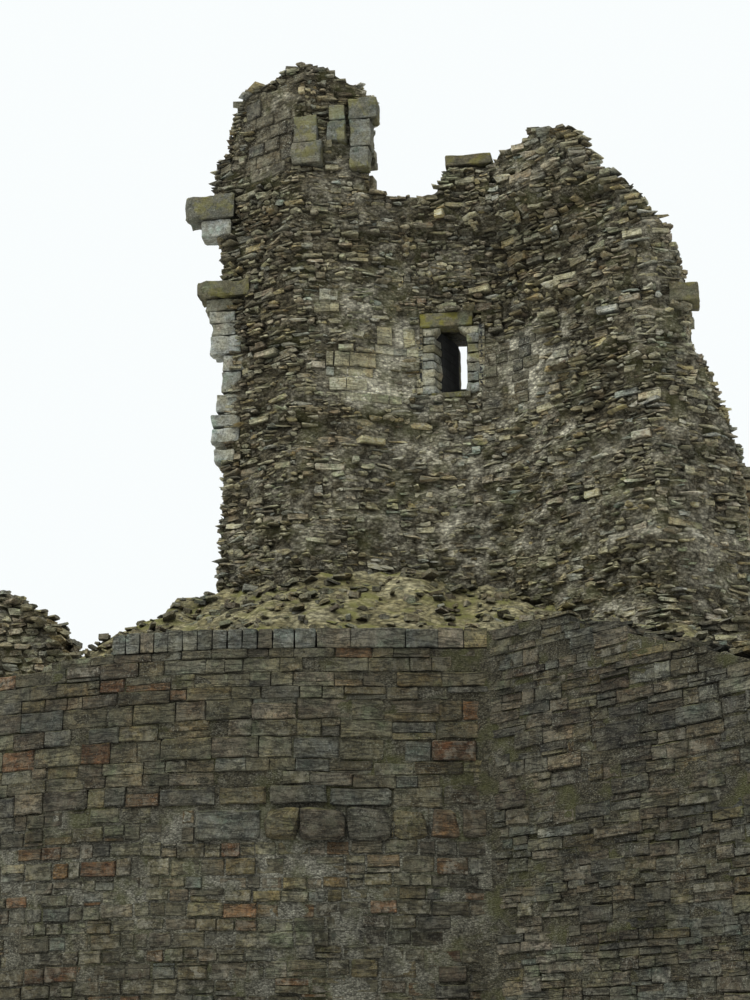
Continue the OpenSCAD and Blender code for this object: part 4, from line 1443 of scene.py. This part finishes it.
def facing(x, z):
    """1 inside a patch of facing, 0 outside"""
    best = 0
    for left, right, foot, top, *_ in PATCHES:
        best = max(best, smooth(min(x - left, right - x, z - foot, top - z), -0.25, 0.05))
    return best


def relief(x, z):
    """Slow bulges, hollows and ledges of the bare core, outward"""
    out = 0.16*wander(x, z, 0.75, 0.95, 1) + 0.11*wander(x, z, 2.1, 2.9, 2)
    out += 0.12*wander(x, z, 0.55, 3.4, 3)
    return out*(1 - facing(x, z))


def bare_y(x):
    return (read(FACE, x - 0.3) + 2*read(FACE, x) + read(FACE, x + 0.3))/4


def face_y(x, z):
    return bare_y(x) - overhang(x, z) - relief(x, z)


print("face at the window", round(bare_y(1.4), 3), "at the right bulge", round(bare_y(5.8), 3))

# %% [markdown]
# ## The tall wall's core of flags
# Seen from inside the keep, the tall wall shows its bare core: thin flat
# stones with broken ends, bedded in lime, some standing well out and some
# fallen away. Around the window and on the turret's left a few squared
# facing stones are still in place. First their looks: the tone drifts over
# the wall, and lime follows the light areas.

# %% How the flags look
dice = random.Random(55)
SPAN_LEFT, SPAN_RIGHT, SPAN_TOP = -4.2, 7.75, 24.2
# soft light and dark areas of the wall: x, z, half width, half height, change of tone
AREAS = [
    (-0.8, 20.6, 0.9, 0.7, 0.08), (-0.2, 17.2, 1.4, 1.7, 0.14), (2.7, 16.8, 1.1, 1.2, 0.14),
    (1.4, 19.3, 1.0, 0.5, 0.08), (5.9, 18.4, 1.1, 1.8, 0.15), (-3.3, 18.6, 1.0, 3.2, -0.23),
    (2.2, 20.1, 2.4, 0.45, -0.06), (4.6, 15.4, 0.9, 0.9, -0.12), (1.0, 13.2, 3.4, 1.8, 0.22),
    (-2.6, 22.6, 0.9, 0.9, -0.12), (5.8, 12.6, 2.2, 2.6, 0.12), (3.4, 21.2, 1.3, 0.8, 0.18),
    (3.1, 18.9, 0.8, 0.8, -0.20), (1.6, 15.0, 2.4, 0.6, 0.12), (-1.2, 21.5, 0.7, 0.8, 0.20),
]


def tone_at(x, z):
    total = 0.13*wander(x, z, 0.55, 0.7, 31) + 0.16*wander(x, z, 1.7, 2.4, 32)
    return total + soft_areas(AREAS, x, z)


def flag_look(x, z):
    tint = min(dice.gauss(0.42, 0.19) + tone_at(x, z), 0.84)
    return tint, 0.88*dice.random(), max(0, dice.gauss(0.12, 0.2) + 1.2*tone_at(x, z))


def facing_look(x, z, tone):
    tint = dice.gauss(tone, 0.08) + 0.3*tone_at(x, z)
    return tint, 0.62*dice.random(), max(0, dice.gauss(tone - 0.2, 0.2))


print("tone change by the left edge", round(tone_at(-3.3, 18.6), 2))

# %% [markdown]
# Next come the sizes of the flags and the places where they may lie. Below,
# the rubble heap hides the wall, and so no flag is laid there. The places of
# the dressed stones are kept free.


# %% Where flags go
def flag_size(s, z):
    """Shortest, longest, thinnest and thickest: one in twelve is a big stone,
    most are thin flags, and the rest are short and stout"""
    r = dice.random()
    if r < 0.08:
        return 0.28, 0.52, 0.13, 0.19
    return (0.16, 0.46, 0.045, 0.09) if r < 0.66 else (0.1, 0.26, 0.07, 0.12)


HEAP_SIDES = np.array([
    (-7.3, 0.15), (-6.3, 0.42), (-5.3, 0.76), (-4.3, 0.84), (-3.2, 0.87), (-2.1, 0.89), (-1.1, 0.94), (0, 0.97),
    (0.9, 0.93), (1.95, 0.84), (2.7, 0.76), (3.6, 0.62), (4.5, 0.44), (5.0, 0.25), (6.0, 0.1)])
HEAP_FOOT, HEAP_RISE = FOOT + 0.26, 3.0


def heap_top(x):
    """Height of the rubble heap where it meets the wall"""
    return HEAP_FOOT + HEAP_RISE*read(HEAP_SIDES, x)


def shows(x, z):
    return mass_at(x, z) is not None and z > (heap_top(x) - 0.4 if x < 5 else FOOT + 0.1)


# places kept free for dressed stones: left, right, foot, top
TAKEN = [
    (0.77, 2.03, 16.2, 17.78), (0.73, 1.89, 17.76, 18.1), (0.98, 1.82, 16.1, 16.24),
    (-4.64, -3.49, 20.79, 21.38), (-4.29, -3.09, 18.82, 19.21), (6.4, 6.76, 17.2, 17.63),
    (-2.0, -1.34, 21.58, 22.1), (-1.96, -1.43, 22.1, 22.77), (-1.22, -0.81, 22.16, 22.64),
    (-1.2, -0.83, 22.67, 23.05), (-0.73, -0.3, 21.5, 22.0), (-0.73, -0.25, 22.01, 22.7), (-0.76, -0.12, 22.7, 23.21),
]
# foot, top, left end and length of each quoin
QUOINS = [
    (20.38, 20.78, -4.28, 0.70), (18.52, 18.81, -4.12, 0.65), (18.215, 18.5, -4.02, 0.60),
    (17.915, 18.195, -3.95, 0.56), (17.47, 17.895, -3.97, 0.70), (17.06, 17.44, -3.68, 0.60),
    (16.555, 17.03, -3.7, 0.45), (16.1, 16.505, -3.8, 0.5), (15.75, 16.02, -3.9, 0.65),
    (15.395, 15.72, -3.9, 0.65), (14.945, 15.215, -3.82, 0.45)]
TAKEN += [(x, x + long, foot, top) for foot, top, x, long in QUOINS]
print("places kept for dressed stones", len(TAKEN))

# %% [markdown]
# Each part of the tall wall collects its own stones, so that every CAD node
# has a piece that stands for it. A stone on a slope of the face is turned to
# follow it, and made longer.

# %% The parts of the inner face
STANDS_FOR = {
    "tower_left_masonry": ["tower_left", "tower_mid_left"],
    "window_bay_masonry": ["left_bay", "below_window", "above_window", "right_bay"],
    "tower_right_masonry": ["tower_mid_right", "tower_right"],
    "wall_head_masonry": ["haunch_left", "haunch_right"],
    "turret_masonry": ["turret"], "notch_masonry": ["notch_rubble"], "hump_masonry": ["right_hump"],
}
PARTS = {name: [] for name in STANDS_FOR}


def part_of(x, z):
    if z > HEAD:
        mass = mass_at(x, z)
        return mass + "_masonry" if mass else "wall_head_masonry"
    if x < BAY_LEFT:
        return "tower_left_masonry"
    if z > BEDS_FOOT:
        return "wall_head_masonry"
    return "window_bay_masonry" if x < BAY_RIGHT else "tower_right_masonry"


def on_face(x, z, long, tall, kind, proud, tilt, look):
    """One stone on the inner face, turned to follow the face"""
    slope = (face_y(x + 0.08, z) - face_y(x - 0.08, z))/0.16
    wide = math.hypot(1, slope)
    run = np.array([1, slope])/wide
    stone(PARTS[part_of(x, z)], (x, face_y(x, z)), run, z, (long*min(wide, 1.3), 0.28 + max(proud, 0), tall),
          kind, dice, proud, tilt, *look)


print("parts of the tall wall", len(PARTS))

# %% [markdown]
# The courses of facing go in first. Their ends are ragged, one stone in ten
# is gone, and beside the window they stop at the jambs. Small pinnings close
# the gap between jambs and wall.

# %% Lay the facing that is left
# where the face of the window's jambs lies
WINDOW_Y = 4.1
# only the patches below this height touch the window
BESIDE_WINDOW = 18
for left, right, foot, top, thin, thick, short, long, tone in PATCHES:
    beds = level_beds(foot, top, thin, thick, dice)
    for low, high in zip(beds, beds[1:]):
        x = left + dice.uniform(-0.22, 0.16)
        end = right + dice.uniform(-0.2, 0.2)
        if foot < BESIDE_WINDOW and left < 0:
            end = min(end, PASSAGE_LEFT - 0.02)
        elif foot < BESIDE_WINDOW:
            x = max(x, PASSAGE_RIGHT - 0.01)
        first = x
        while x < end - 0.12:
            size = min(dice.uniform(short, long)*dice.choice((0.7, 1, 1.2)), end - x)
            if dice.random() > 0.1:
                on_face(x + size/2, (low + high)/2, size - dice.uniform(-0.02, 0.03),
                        high - low - dice.uniform(-0.03, 0.04), BLOCKS, dice.gauss(0.008, 0.02),
                        (0.04, 0.03, 0.04), facing_look(x, low, tone))
            x += size
        TAKEN.append((first, end, low, high))
for x in (PASSAGE_LEFT, PASSAGE_RIGHT):
    beds = level_beds(16.2, 17.78, 0.07, 0.2, dice)
    for low, high in zip(beds, beds[1:]):
        stone(PARTS["window_bay_masonry"], (x, WINDOW_Y), (1, 0), (low + high)/2, (0.14, 0.2, high - low), BLOCKS, dice,
              0.004, (0.02, 0.02, 0.05), *facing_look(x, low, 0.36))
print("facing stones", sum(len(rows) for rows in PARTS.values()))

# %% [markdown]
# Flags fill what is left. One in ten has fallen out, and a few stand far out
# and throw long shadows. Last come small chips, pressed into the joints.

# %% Lay the flags
# share of flags that fell out, share that stands far out, and number of chips
FALLEN, BOLD, CHIPS = 0.10, 0.04, 2600
taken = [(a - SPAN_LEFT, b - SPAN_LEFT, foot, top) for a, b, foot, top in TAKEN]
flags = lay_rubble(SPAN_RIGHT - SPAN_LEFT, FOOT + 0.1, SPAN_TOP, flag_size,
                   lambda s, z: shows(SPAN_LEFT + s, z), taken, dice)
print("flags on the inner face", len(flags))
for s, foot, long, tall in flags:
    if dice.random() < FALLEN:
        continue
    x, z = SPAN_LEFT + s + long/2, foot + tall/2
    proud = min(max(dice.gauss(0.01, 0.05), -0.09), 0.16)
    if dice.random() < BOLD:
        proud = dice.uniform(0.12, 0.25)
    kind = BLOCKS if tall > 0.13 and dice.random() < 0.3 else FLAGS
    on_face(x, z + dice.uniform(-0.008, 0.008), long*1.02, tall*dice.uniform(0.86, 1.04), kind, proud,
            (0.12, 0.08, 0.12) if kind is FLAGS else (0.06, 0.03, 0.06), flag_look(x, z))
for _ in range(CHIPS):
    x, z = dice.uniform(SPAN_LEFT, SPAN_RIGHT), dice.uniform(FOOT + 0.4, SPAN_TOP)
    kept = any(a - 0.05 < x < b + 0.05 and foot - 0.05 < z < top + 0.05 for a, b, foot, top in TAKEN)
    if shows(x, z) and not kept:
        on_face(x, z, dice.uniform(0.06, 0.17), dice.uniform(0.02, 0.055), FLAGS, dice.gauss(-0.015, 0.03),
                (0.35, 0.3, 0.35), flag_look(x, z + 0.001))
print("stones with chips", sum(len(rows) for rows in PARTS.values()))

# %% [markdown]
# The broken ends show the same flags in section. The far side of the wall is
# hidden in the photograph, and it gets plain squared facing in level beds,
# cut away around the slit.

# %% Lay the ends and the rear
# the line of the rear runs from one of these to the other
REAR_START, REAR_END = 7.7, -4.2
# along the rear line, as left, right, foot, top: the slit's jambs and its head
SLIT = [(REAR_START - 1.91, REAR_START - 1.12, 16.2, 17.8), (REAR_START - 1.93, REAR_START - 0.88, 17.8, 18.1)]


def rear_look(s, z):
    tint, hue, lime = plain_look(s, z)
    return tint - 0.16 + 0.10*smooth(z, 9, 15), hue, lime


for name, (foot, top, left, right, skew) in MASSES.items():
    sides = {
        -0.12: lambda z: [[(read(left, z), REAR), (read(left, z), face_y(read(left, z), z))]],
        0.12: lambda z: [[(read(right, z), face_y(read(right, z), z)), (read(right, z) - skew, REAR)]],
    }
    for beyond, outline in sides.items():
        stones = []
        lay_ends(stones, outline, foot, top, (0.06, 0.14), (0.18, 0.46), dice, flag_look, (-0.07, 0.05),
                 lambda at, z: mass_at(at[0] + beyond + (skew if beyond > 0 else 0), z) is None,
                 tilt=(0.09, 0.07, 0.1))
        for row in stones:
            PARTS["tower_left_masonry" if name == "wall" and beyond < 0 and row[2] < HEAD
                  else part_of(row[0] - SHIFT[0] - beyond, row[2])].append(row)
    beds = level_beds(foot, top, 0.2, 0.34, dice)
    stones = []
    lay_courses(stones, Line([(REAR_START, REAR), (REAR_END, REAR)]), beds, (0.28, 0.7), dice, rear_look,
                lambda s, z: mass_at(REAR_START - s + skew*(REAR_START - s > -2), z) == name,
                (-0.006, 0.022), (0.006, 0.04), 0.26, 0.14, SLIT, 0.0)
    for row in stones:
        PARTS[part_of(row[0] - SHIFT[0], row[2])].append(row)
print("stones with ends and rear", sum(len(rows) for rows in PARTS.values()))

# %% [markdown]
# Loose stones lie on every level place of the tops. They hide the flat top
# of the core behind, and they give the skyline its broken edge.

# %% Lay the tops
TOP_EVERY, TOP_ROWS = 0.22, 9
# left, right and height of each place
for left, right, top in ((-0.3, 1.2, HEAD), (-2.1, -1.5, 24.13), (1.4, 2.4, 21.54), (3.3, 3.6, 21.9),
                         (-3.8, -2.3, 23.9), (-1.4, -0.6, 23.7), (2.5, 3.2, 21.72), (3.7, 4.3, 21.6)):
    stones = []
    for i in range(int((right - left)/TOP_EVERY) + 1):
        for j in range(TOP_ROWS):
            x = min(left + (i + dice.random())*TOP_EVERY, right)
            y = bare_y(x) + 0.1 + (j + dice.random())/TOP_ROWS*(REAR - bare_y(x) - 0.25)
            z = top - 0.02 + 0.03*dice.random()
            if mass_at(x, z - 0.15) or top == HEAD:
                strew(stones, x, y, z, [(0.18, 0.42), (0.18, 0.36), (0.05, 0.13)], dice, flag_look)
    for row in stones:
        PARTS[part_of(row[0] - SHIFT[0], top - 0.2)].append(row)
print({name: len(rows) for name, rows in PARTS.items()})

# %% [markdown]
# The mortar behind the flags is lofted in the same parts. Its face follows
# the same relief, a few centimetres further in where the wall is dark and
# nearly flush where lime still fills the joints.


# %% One core of the tall wall
def core_y(x, z):
    """The face of the mortar behind the flags"""
    depth = 0.055 - 0.25*tone_at(x, z) + 0.09*wander(x, z, 3.4, 4.1, 7)
    depth += 0.05*wander(x, z, 9, 13, 17)
    kept = facing(x, z)
    return face_y(x, z) + kept*0.014 + (1 - kept)*min(max(depth, -0.02), 0.16)


FINE_RISE, FINE_STEP = 0.08, 0.09


def tall_core(name, low, high, left_at, right_at, skew=0.0):
    """Between two ends that change with height.  skew sets the right end of
    its rear back"""
    levels = max(2, int(round((high - low)/FINE_RISE)) + 1)
    columns = max(2, int((right_at(low) - left_at(low))/FINE_STEP))
    rings = []
    for k in range(levels):
        z = low + (high - low)*k/(levels - 1)
        xl, xr = left_at(z), right_at(z)
        ring = []
        for i in range(columns + 1):
            x = xl + (xr - xl)*i/columns
            ring.append((x, min(core_y(x, z), REAR - 0.2), z))
        ring.append((xr - skew, REAR - 0.03, z))
        ring.append((xl, REAR - 0.03, z))
        rings.append(ring)
    return core_mesh(name, rings, core_mortar,
                     lambda x, z: 0.16 + 1.5*tone_at(x - SHIFT[0], z) + 0.5*facing(x - SHIFT[0], z)*(z < 20))


print("mortar behind the face at the window", round(core_y(1.4, 15) - face_y(1.4, 15), 3))

# %% [markdown]
# Six parts have one core each. The bay with the window is built from four,
# which leave the passage open. Each part then becomes one piece.


# %% Grow the tall wall
def joined(name, cores):
    """Several cores as one helper object"""
    data = bpy.data.meshes.new(name)
    points, faces, lime = [], [], []
    for core in cores:
        base = len(points)
        points += [tuple(v.co) for v in core.data.vertices]
        faces += [tuple(base + i for i in p.vertices) for p in core.data.polygons]
        lime += [d.value for d in core.data.attributes["lime"].data]
    data.from_pydata(points, [], faces)
    data.materials.append(cores[0].data.materials[0])
    store(data, "lime", lime)
    for core in cores:
        bpy.data.objects.remove(core)
    return bpy.data.objects.new(name, data)


def ends(left, right, inset=0.08):
    return lambda z: read(left, z) + inset, lambda z: read(right, z) - inset


def fixed(x):
    return lambda z: x


wall_left, wall_right = ends(LEFT_END, RIGHT_END)
CORES = {
    "tower_left_masonry": [("a", FOOT, HEAD, wall_left, fixed(BAY_LEFT))],
    "window_bay_masonry": [
        ("b", FOOT, BEDS_FOOT, fixed(BAY_LEFT), fixed(PASSAGE_LEFT)),
        ("c", FOOT, PASSAGE_FOOT, fixed(PASSAGE_LEFT), fixed(PASSAGE_RIGHT)),
        ("d", PASSAGE_HEAD, BEDS_FOOT, fixed(PASSAGE_LEFT), fixed(PASSAGE_RIGHT)),
        ("e", FOOT, BEDS_FOOT, fixed(PASSAGE_RIGHT), fixed(BAY_RIGHT))],
    "tower_right_masonry": [("f", FOOT, BEDS_FOOT, fixed(BAY_RIGHT), wall_right)],
    "wall_head_masonry": [("g", BEDS_FOOT, HEAD - 0.03, fixed(BAY_LEFT), wall_right)],
    "turret_masonry": [("h", HEAD - 0.03, 24.1, *ends(TURRET_LEFT, TURRET_RIGHT), 0.4)],
    "notch_masonry": [("i", HEAD - 0.03, 21.5, *ends(NOTCH_LEFT, NOTCH_RIGHT))],
    "hump_masonry": [("j", HEAD - 0.03, 21.88, *ends(HUMP_LEFT, HUMP_RIGHT))],
}
for number, (name, stones) in enumerate(PARTS.items()):
    cores = [tall_core(name + key, *rest) for key, *rest in CORES[name]]
    lay(name, stones, joined(name + "_core", cores), rubble_stone, "rubble", *STANDS_FOR[name],
        turn=0.02, size=0.04, seed=60 + number)

# %% [markdown]
# ## Two torn stubs
# At the far left a stub of the side wall still stands on the base stage, and
# at the foot of the tall wall's right end a stepped remnant leans on it.
# Both are the same broken core, laid round an outline that shrinks with
# height.

# %% The far left stub
dice = random.Random(71)
STUB_RIGHT = np.array([(9, -6.7), (10.7, -7.08), (11.25, -7.3), (11.7, -7.7), (12.05, -8.2), (12.25, -8.5)])
STUB_TOP = 12.25


def stub_outline(z, inset=0.0):
    x = read(STUB_RIGHT, z) - inset
    front = 3.86 + 0.1*noise.noise(Vector((0, z*1.4, 12))) + inset
    back = REAR - inset
    left = LEFT_X + inset + 0.05*(z - FOOT)/3
    return [(left, front), (x, front + 0.04 + 0.12*(z - FOOT)), (x, back), (left, back)]


def stub_look(x, z):
    return dice.gauss(0.31, 0.12), 0.88*dice.random(), max(0, dice.gauss(0.04, 0.12))


def remnant(name, outline, low, high, tops, sizes, look, nodes, seed):
    """A torn stub: rough beds round an outline, loose stones on its tops and a core"""
    stones = []
    lay_ends(stones, lambda z: [outline(z) + outline(z)[:1]], low, high, sizes, (0.2, 0.5), dice, look,
             (-0.04, 0.06), deep=0.3)
    for x, y, z in tops:
        strew(stones, x, y, z, [(0.2, 0.45), (0.2, 0.4), (0.07, 0.15)], dice, look)
    rings = [[(x, y, z) for x, y in outline(z, 0.07)] for z in np.linspace(low, high - 0.05, 14)]
    core = core_mesh(name + "_core", rings, core_mortar, lambda x, z: 0.2)
    lay(name, stones, core, rubble_stone, "rubble", *nodes, turn=0.03, size=0.05, seed=seed)


tops = []
for _ in range(150):
    x, y = dice.uniform(LEFT_X + 0.2, -6.9), dice.uniform(4.1, REAR - 0.2)
    z = float(np.interp(-x, -STUB_RIGHT[:, 1], STUB_RIGHT[:, 0]))
    tops.append((x, y, min(z, STUB_TOP) - 0.05))
remnant("stub_masonry", stub_outline, FOOT, STUB_TOP, tops, (0.09, 0.2), stub_look, ["far_left_stub"], 72)

# %% [markdown]
# The remnant at the foot goes up in three steps, and each is a little
# smaller than the one below.

# %% The stepped foot
FOOT_STEP, FOOT_STEPS = 0.42, 3


def foot_outline(z, inset=0.0):
    i = min(int((z - FOOT)/FOOT_STEP), FOOT_STEPS - 1)
    return [(5.4 + 0.15*i + inset, 2.0), (5.5 + 0.2*i + inset, 0.5 + 0.4*i + inset),
            (7.5 - 0.06*i - inset, 0.45 + 0.4*i + inset), (7.6 - 0.06*i - inset, 2.0)]


tops = []
for i in range(FOOT_STEPS):
    for _ in range(46):
        x, y = dice.uniform(5.7 + 0.2*i, 7.3 - 0.06*i), dice.uniform(0.65 + 0.4*i, 1.9)
        tops.append((x, y, FOOT + FOOT_STEP*(i + 1) - 0.04))
remnant("foot_masonry", foot_outline, FOOT, FOOT + FOOT_STEP*FOOT_STEPS, tops, (0.08, 0.18), stub_look,
        ["right_foot"], 73)

# %% [markdown]
# ## The heap
# The inside of the base stage is full of fallen rubble that has turned to
# earth, and it climbs to the foot of the tall wall. Its height comes from
# the same rule as in the CAD model. Over the tops of the base walls it runs
# out thinly.

# %% How high the heap lies
HEAP_LIMIT, HEAP_CREST = 3.75, 0.75
# over this width of wall top the heap runs out
RUN_OUT = 1.25
INNER_PLAN = inset_plan(WALL_T)
FRONT_INSIDE = INNER_PLAN[:len(ARC) + 2]


def nearest(polygon, x, y):
    """Distance to a closed outline, with the number and the point of its nearest edge"""
    best = (math.inf, 0, (x, y))
    for i, a in enumerate(polygon):
        b = polygon[(i + 1) % len(polygon)]
        run = b - a
        t = min(max(float((np.array((x, y)) - a) @ run/(run @ run)), 0), 1)
        spot = a + t*run
        away = math.hypot(x - spot[0], y - spot[1])
        if away < best[0]:
            best = (away, i, tuple(spot))
    return best


LOW_EDGES = round(LOW_DEGREES/ARC_TURN)


def wall_top_at(edge, x, y):
    """Height of the base wall's top beside an edge of the inner plan"""
    if edge == len(ARC):
        return spur_top(float(np.hypot(*(np.array((x, y)) - INNER_CORNER))))
    if edge == len(ARC) + 1:
        return right_top(y - SPUR_END[1])
    return FRONT_TOPS[0] if edge < LOW_EDGES else FOOT


def mound_z(x, y):
    low = float(np.interp(x, FRONT_INSIDE[:, 0], FRONT_INSIDE[:, 1])) + 0.15
    high = 0.45 if x > 4.8 else min(HEAP_LIMIT, bare_y(x) - 0.12)
    t = min(max((y - low)/max(high - low, 0.3), 0), 1)
    rise = t**1.1
    if x < -4.5 and t > HEAP_CREST:
        rise = HEAP_CREST**1.1 - 0.55*(t - HEAP_CREST)/(1 - HEAP_CREST)
    return HEAP_FOOT + HEAP_RISE*rise*read(HEAP_SIDES, x)


def heap_z(x, y):
    z = mound_z(x, y)
    if not inside(INNER_PLAN, x, y):
        away, edge, (nx, ny) = nearest(INNER_PLAN, x, y)
        top = wall_top_at(edge, x, y) + 0.02
        z = top + (mound_z(nx, ny) - top)*(1 - smooth(away, 0, RUN_OUT))
    rough = 0.2*wander(x, y, 0.9, 0.9, 5) + 0.13*wander(x, y, 2.7, 2.7, 6)
    return z + rough + 0.03*wander(x, y, 8, 8, 8)


print("heap in the middle", round(heap_z(0, 0), 2), "m high")

# %% [markdown]
# The surface is a grid of squares, left out where the tall wall stands and
# beyond the edge of the wall tops. Pulled down, it becomes a closed solid,
# whose sides and underside are hidden in the walls.

# %% The heap's surface
CELL = 0.17
EDGE_PLAN = inset_plan(0.5)
GRID_FRONT = -6.2
# left and right end of the tall wall's foot
WALL_LEFT, WALL_RIGHT = -3.75, 7.45
# the underside, and how low it lies beside the broken end of the spur
UNDERSIDE, UNDERSIDE_RIGHT = 8.3, 7.4
mesh = bmesh.new()
rows = {}
for i in range(int((RIGHT_X - LEFT_X)/CELL)):
    for j in range(int((REAR - GRID_FRONT)/CELL)):
        x, y = LEFT_X + i*CELL, GRID_FRONT + j*CELL
        wall_there = WALL_LEFT < x < WALL_RIGHT and y > face_y(x, 10) + 0.25
        if inside(EDGE_PLAN, x, y) and not wall_there:
            rows[i, j] = mesh.verts.new((x + SHIFT[0], y + SHIFT[1], heap_z(x, y)))
for i, j in rows:
    corners = [(i, j), (i + 1, j), (i + 1, j + 1), (i, j + 1)]
    if all(c in rows for c in corners):
        mesh.faces.new([rows[c] for c in corners])
bmesh.ops.delete(mesh, geom=[v for v in mesh.verts if not v.link_faces], context="VERTS")
copies = bmesh.ops.extrude_face_region(mesh, geom=list(mesh.faces))["geom"]
raised = {v for v in copies if isinstance(v, bmesh.types.BMVert)}
for v in mesh.verts:
    if v not in raised:
        v.co.z = UNDERSIDE if v.co.x < 5 else UNDERSIDE_RIGHT
bmesh.ops.recalc_face_normals(mesh, faces=mesh.faces)
data = mesh_data("heap", mesh)
data.materials.append(earth)
store(data, "lime", [0.25 + 0.5*noise.noise(v.co*0.8) for v in data.vertices])
heap = new_object("heap", data)
print("heap surface", len(data.polygons), "faces")

# %% [markdown]
# A second tree scatters broken stones on whatever looks upward, some half
# sunk and some loose. It throws points on those faces and puts a random
# shape on each. Tint, hue and lime are drawn inside the tree, because there
# is no list of places to carry them.

# %% The scattering tree
scatter = Wiring("scattered_stones", (
    ("Surface", "Geometry"), ("Density", "Float"), ("Smallest", "Vector"), ("Largest", "Vector"),
    ("Tilt", "Float"), ("Shapes", "Collection"), ("Seed", "Int"), ("Finish", "Material")), "Strewn surface")
given = scatter.given
normal = scatter.add("ShaderNodeSeparateXYZ", {0: scatter.add("GeometryNodeInputNormal")}, out="Z")
upward = scatter.add("FunctionNodeCompare", {0: normal, 1: 0.3}, operation="GREATER_THAN")
spots = scatter.add("GeometryNodeDistributePointsOnFaces", {
    "Mesh": given["Surface"], "Selection": upward, "Density": given["Density"], "Seed": given["Seed"]})
for step, (key, low, high) in enumerate((("tint", 0.16, 0.66), ("hue", 0.0, 0.88), ("lime", 0.0, 0.3))):
    spots = scatter.add("GeometryNodeStoreNamedAttribute", {
        "Geometry": spots, "Name": key, "Value": scatter.chance(3 + step, low, high)}, domain="POINT")
tilt_low = scatter.maths("SUBTRACT", 0.0, given["Tilt"])
leaning = scatter.add("ShaderNodeCombineXYZ", {
    "X": scatter.chance(6, tilt_low, given["Tilt"]), "Y": scatter.chance(7, tilt_low, given["Tilt"]),
    "Z": scatter.chance(8, 0.0, 2*math.pi)})
strewn = scatter.add("GeometryNodeInstanceOnPoints", {
    "Points": spots, "Instance": scatter.pieces(given["Shapes"]), "Pick Instance": True,
    "Instance Index": scatter.chance(9, 0, LUMPS[-1], "INT"),
    "Rotation": scatter.add("FunctionNodeEulerToRotation", {0: leaning}),
    "Scale": scatter.chance(10, given["Smallest"], given["Largest"], "FLOAT_VECTOR")})
scatter.finish(strewn, given["Finish"], given["Surface"])
print("scattering tree", len(scatter.tree.nodes), "nodes")

# %% [markdown]
# Fourteen stones fall on each square metre. The part of the heap that the
# CAD model keeps as a plain filling only gets the colour of the earth.

# %% Strew the heap
grow(heap, scatter, {
    "Density": 14.0, "Smallest": (0.06, 0.05, 0.03), "Largest": (0.34, 0.28, 0.16), "Tilt": 0.4,
    "Shapes": shapes, "Seed": 12, "Finish": fallen_stone})
finish_piece(heap, "fallen_rubble", "rubble_mound")
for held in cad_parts["rubble_fill"].material_slots:
    held.material = earth

# %% [markdown]
# ## Dressed stones
# The window's jambs, sill and lintel, the quoins of the lost corner, the two
# corbels and the stones of the turret's doorway are all squared by hand.
# They are blue-grey where they are bare, and yellow crusts cover the ones
# that rain reaches. They keep their CAD places, worn down by the same
# helper as the coping.

# %% Wear the dressed stones
dice = random.Random(90)
for name, node, slot, finish, bevel, rough, tint, hues in (
        ("lintel", "window_lintel", "dressed_stone", lichened_stone, 0.03, 0.016, (0.56, 0.02), (0, 0.3)),
        ("shoulders", "window_shoulders", "dressed_stone", pale_stone, 0.06, 0.02, (0.92, 0.02), (0.1, 0.5)),
        ("jamb_left", "window_jamb_left", "dressed_stone", pale_stone, 0.045, 0.03, (0.74, 0.08), (0.44, 0.56)),
        ("jamb_right", "window_jamb_right", "dressed_stone", dressed_stone, 0.045, 0.03, (0.70, 0.08), (0.5, 0.62)),
        ("window_sill", "window_sill", "rubble", dressed_stone, 0.02, 0.012, (0.36, 0.04), (0, 0.4)),
        # the soffit's near-black tint is painted shade, for the shade under the lintel inside the passage
        ("soffit", "window_soffit", "dressed_stone", dressed_stone, 0.02, 0.01, (0.08, 0.03), (0, 0.4)),
        ("slit", "slit_stones", "dressed_stone", dressed_stone, 0.02, 0.01, (0.5, 0.06), (0, 0.56)),
        ("slit_sill", "slit_sill", "rubble", dressed_stone, 0.015, 0.008, (0.5, 0.05), (0, 0.4)),
        ("quoins", "quoins", "dressed_stone", pale_stone, 0.03, 0.032, (0.74, 0.07), (0.53, 0.61)),
        ("corbel_upper", "corbel_upper", "rubble", dressed_stone, 0.06, 0.05, (0.46, 0.05), (0.4, 0.6)),
        ("corbel_lower", "corbel_lower", "rubble", dressed_stone, 0.06, 0.05, (0.48, 0.05), (0.4, 0.6)),
        ("right_block", "right_block", "dressed_stone", dressed_stone, 0.04, 0.02, (0.32, 0.04), (0.3, 0.6)),
        ("turret_jambs", "turret_jambs", "dressed_stone", dressed_stone, 0.035, 0.028, (0.62, 0.09), (0.5, 0.62)),
        ("head_slab", "wall_head_slab", "coping_stone", dressed_stone, 0.03, 0.016, (0.30, 0.03), (0, 0.4))):
    worn(name + "_worn", node, slot, finish, dice, bevel, rough, tint, hues)

# %% Count the triangles
print("triangles in all", sum(TALLY.values()))
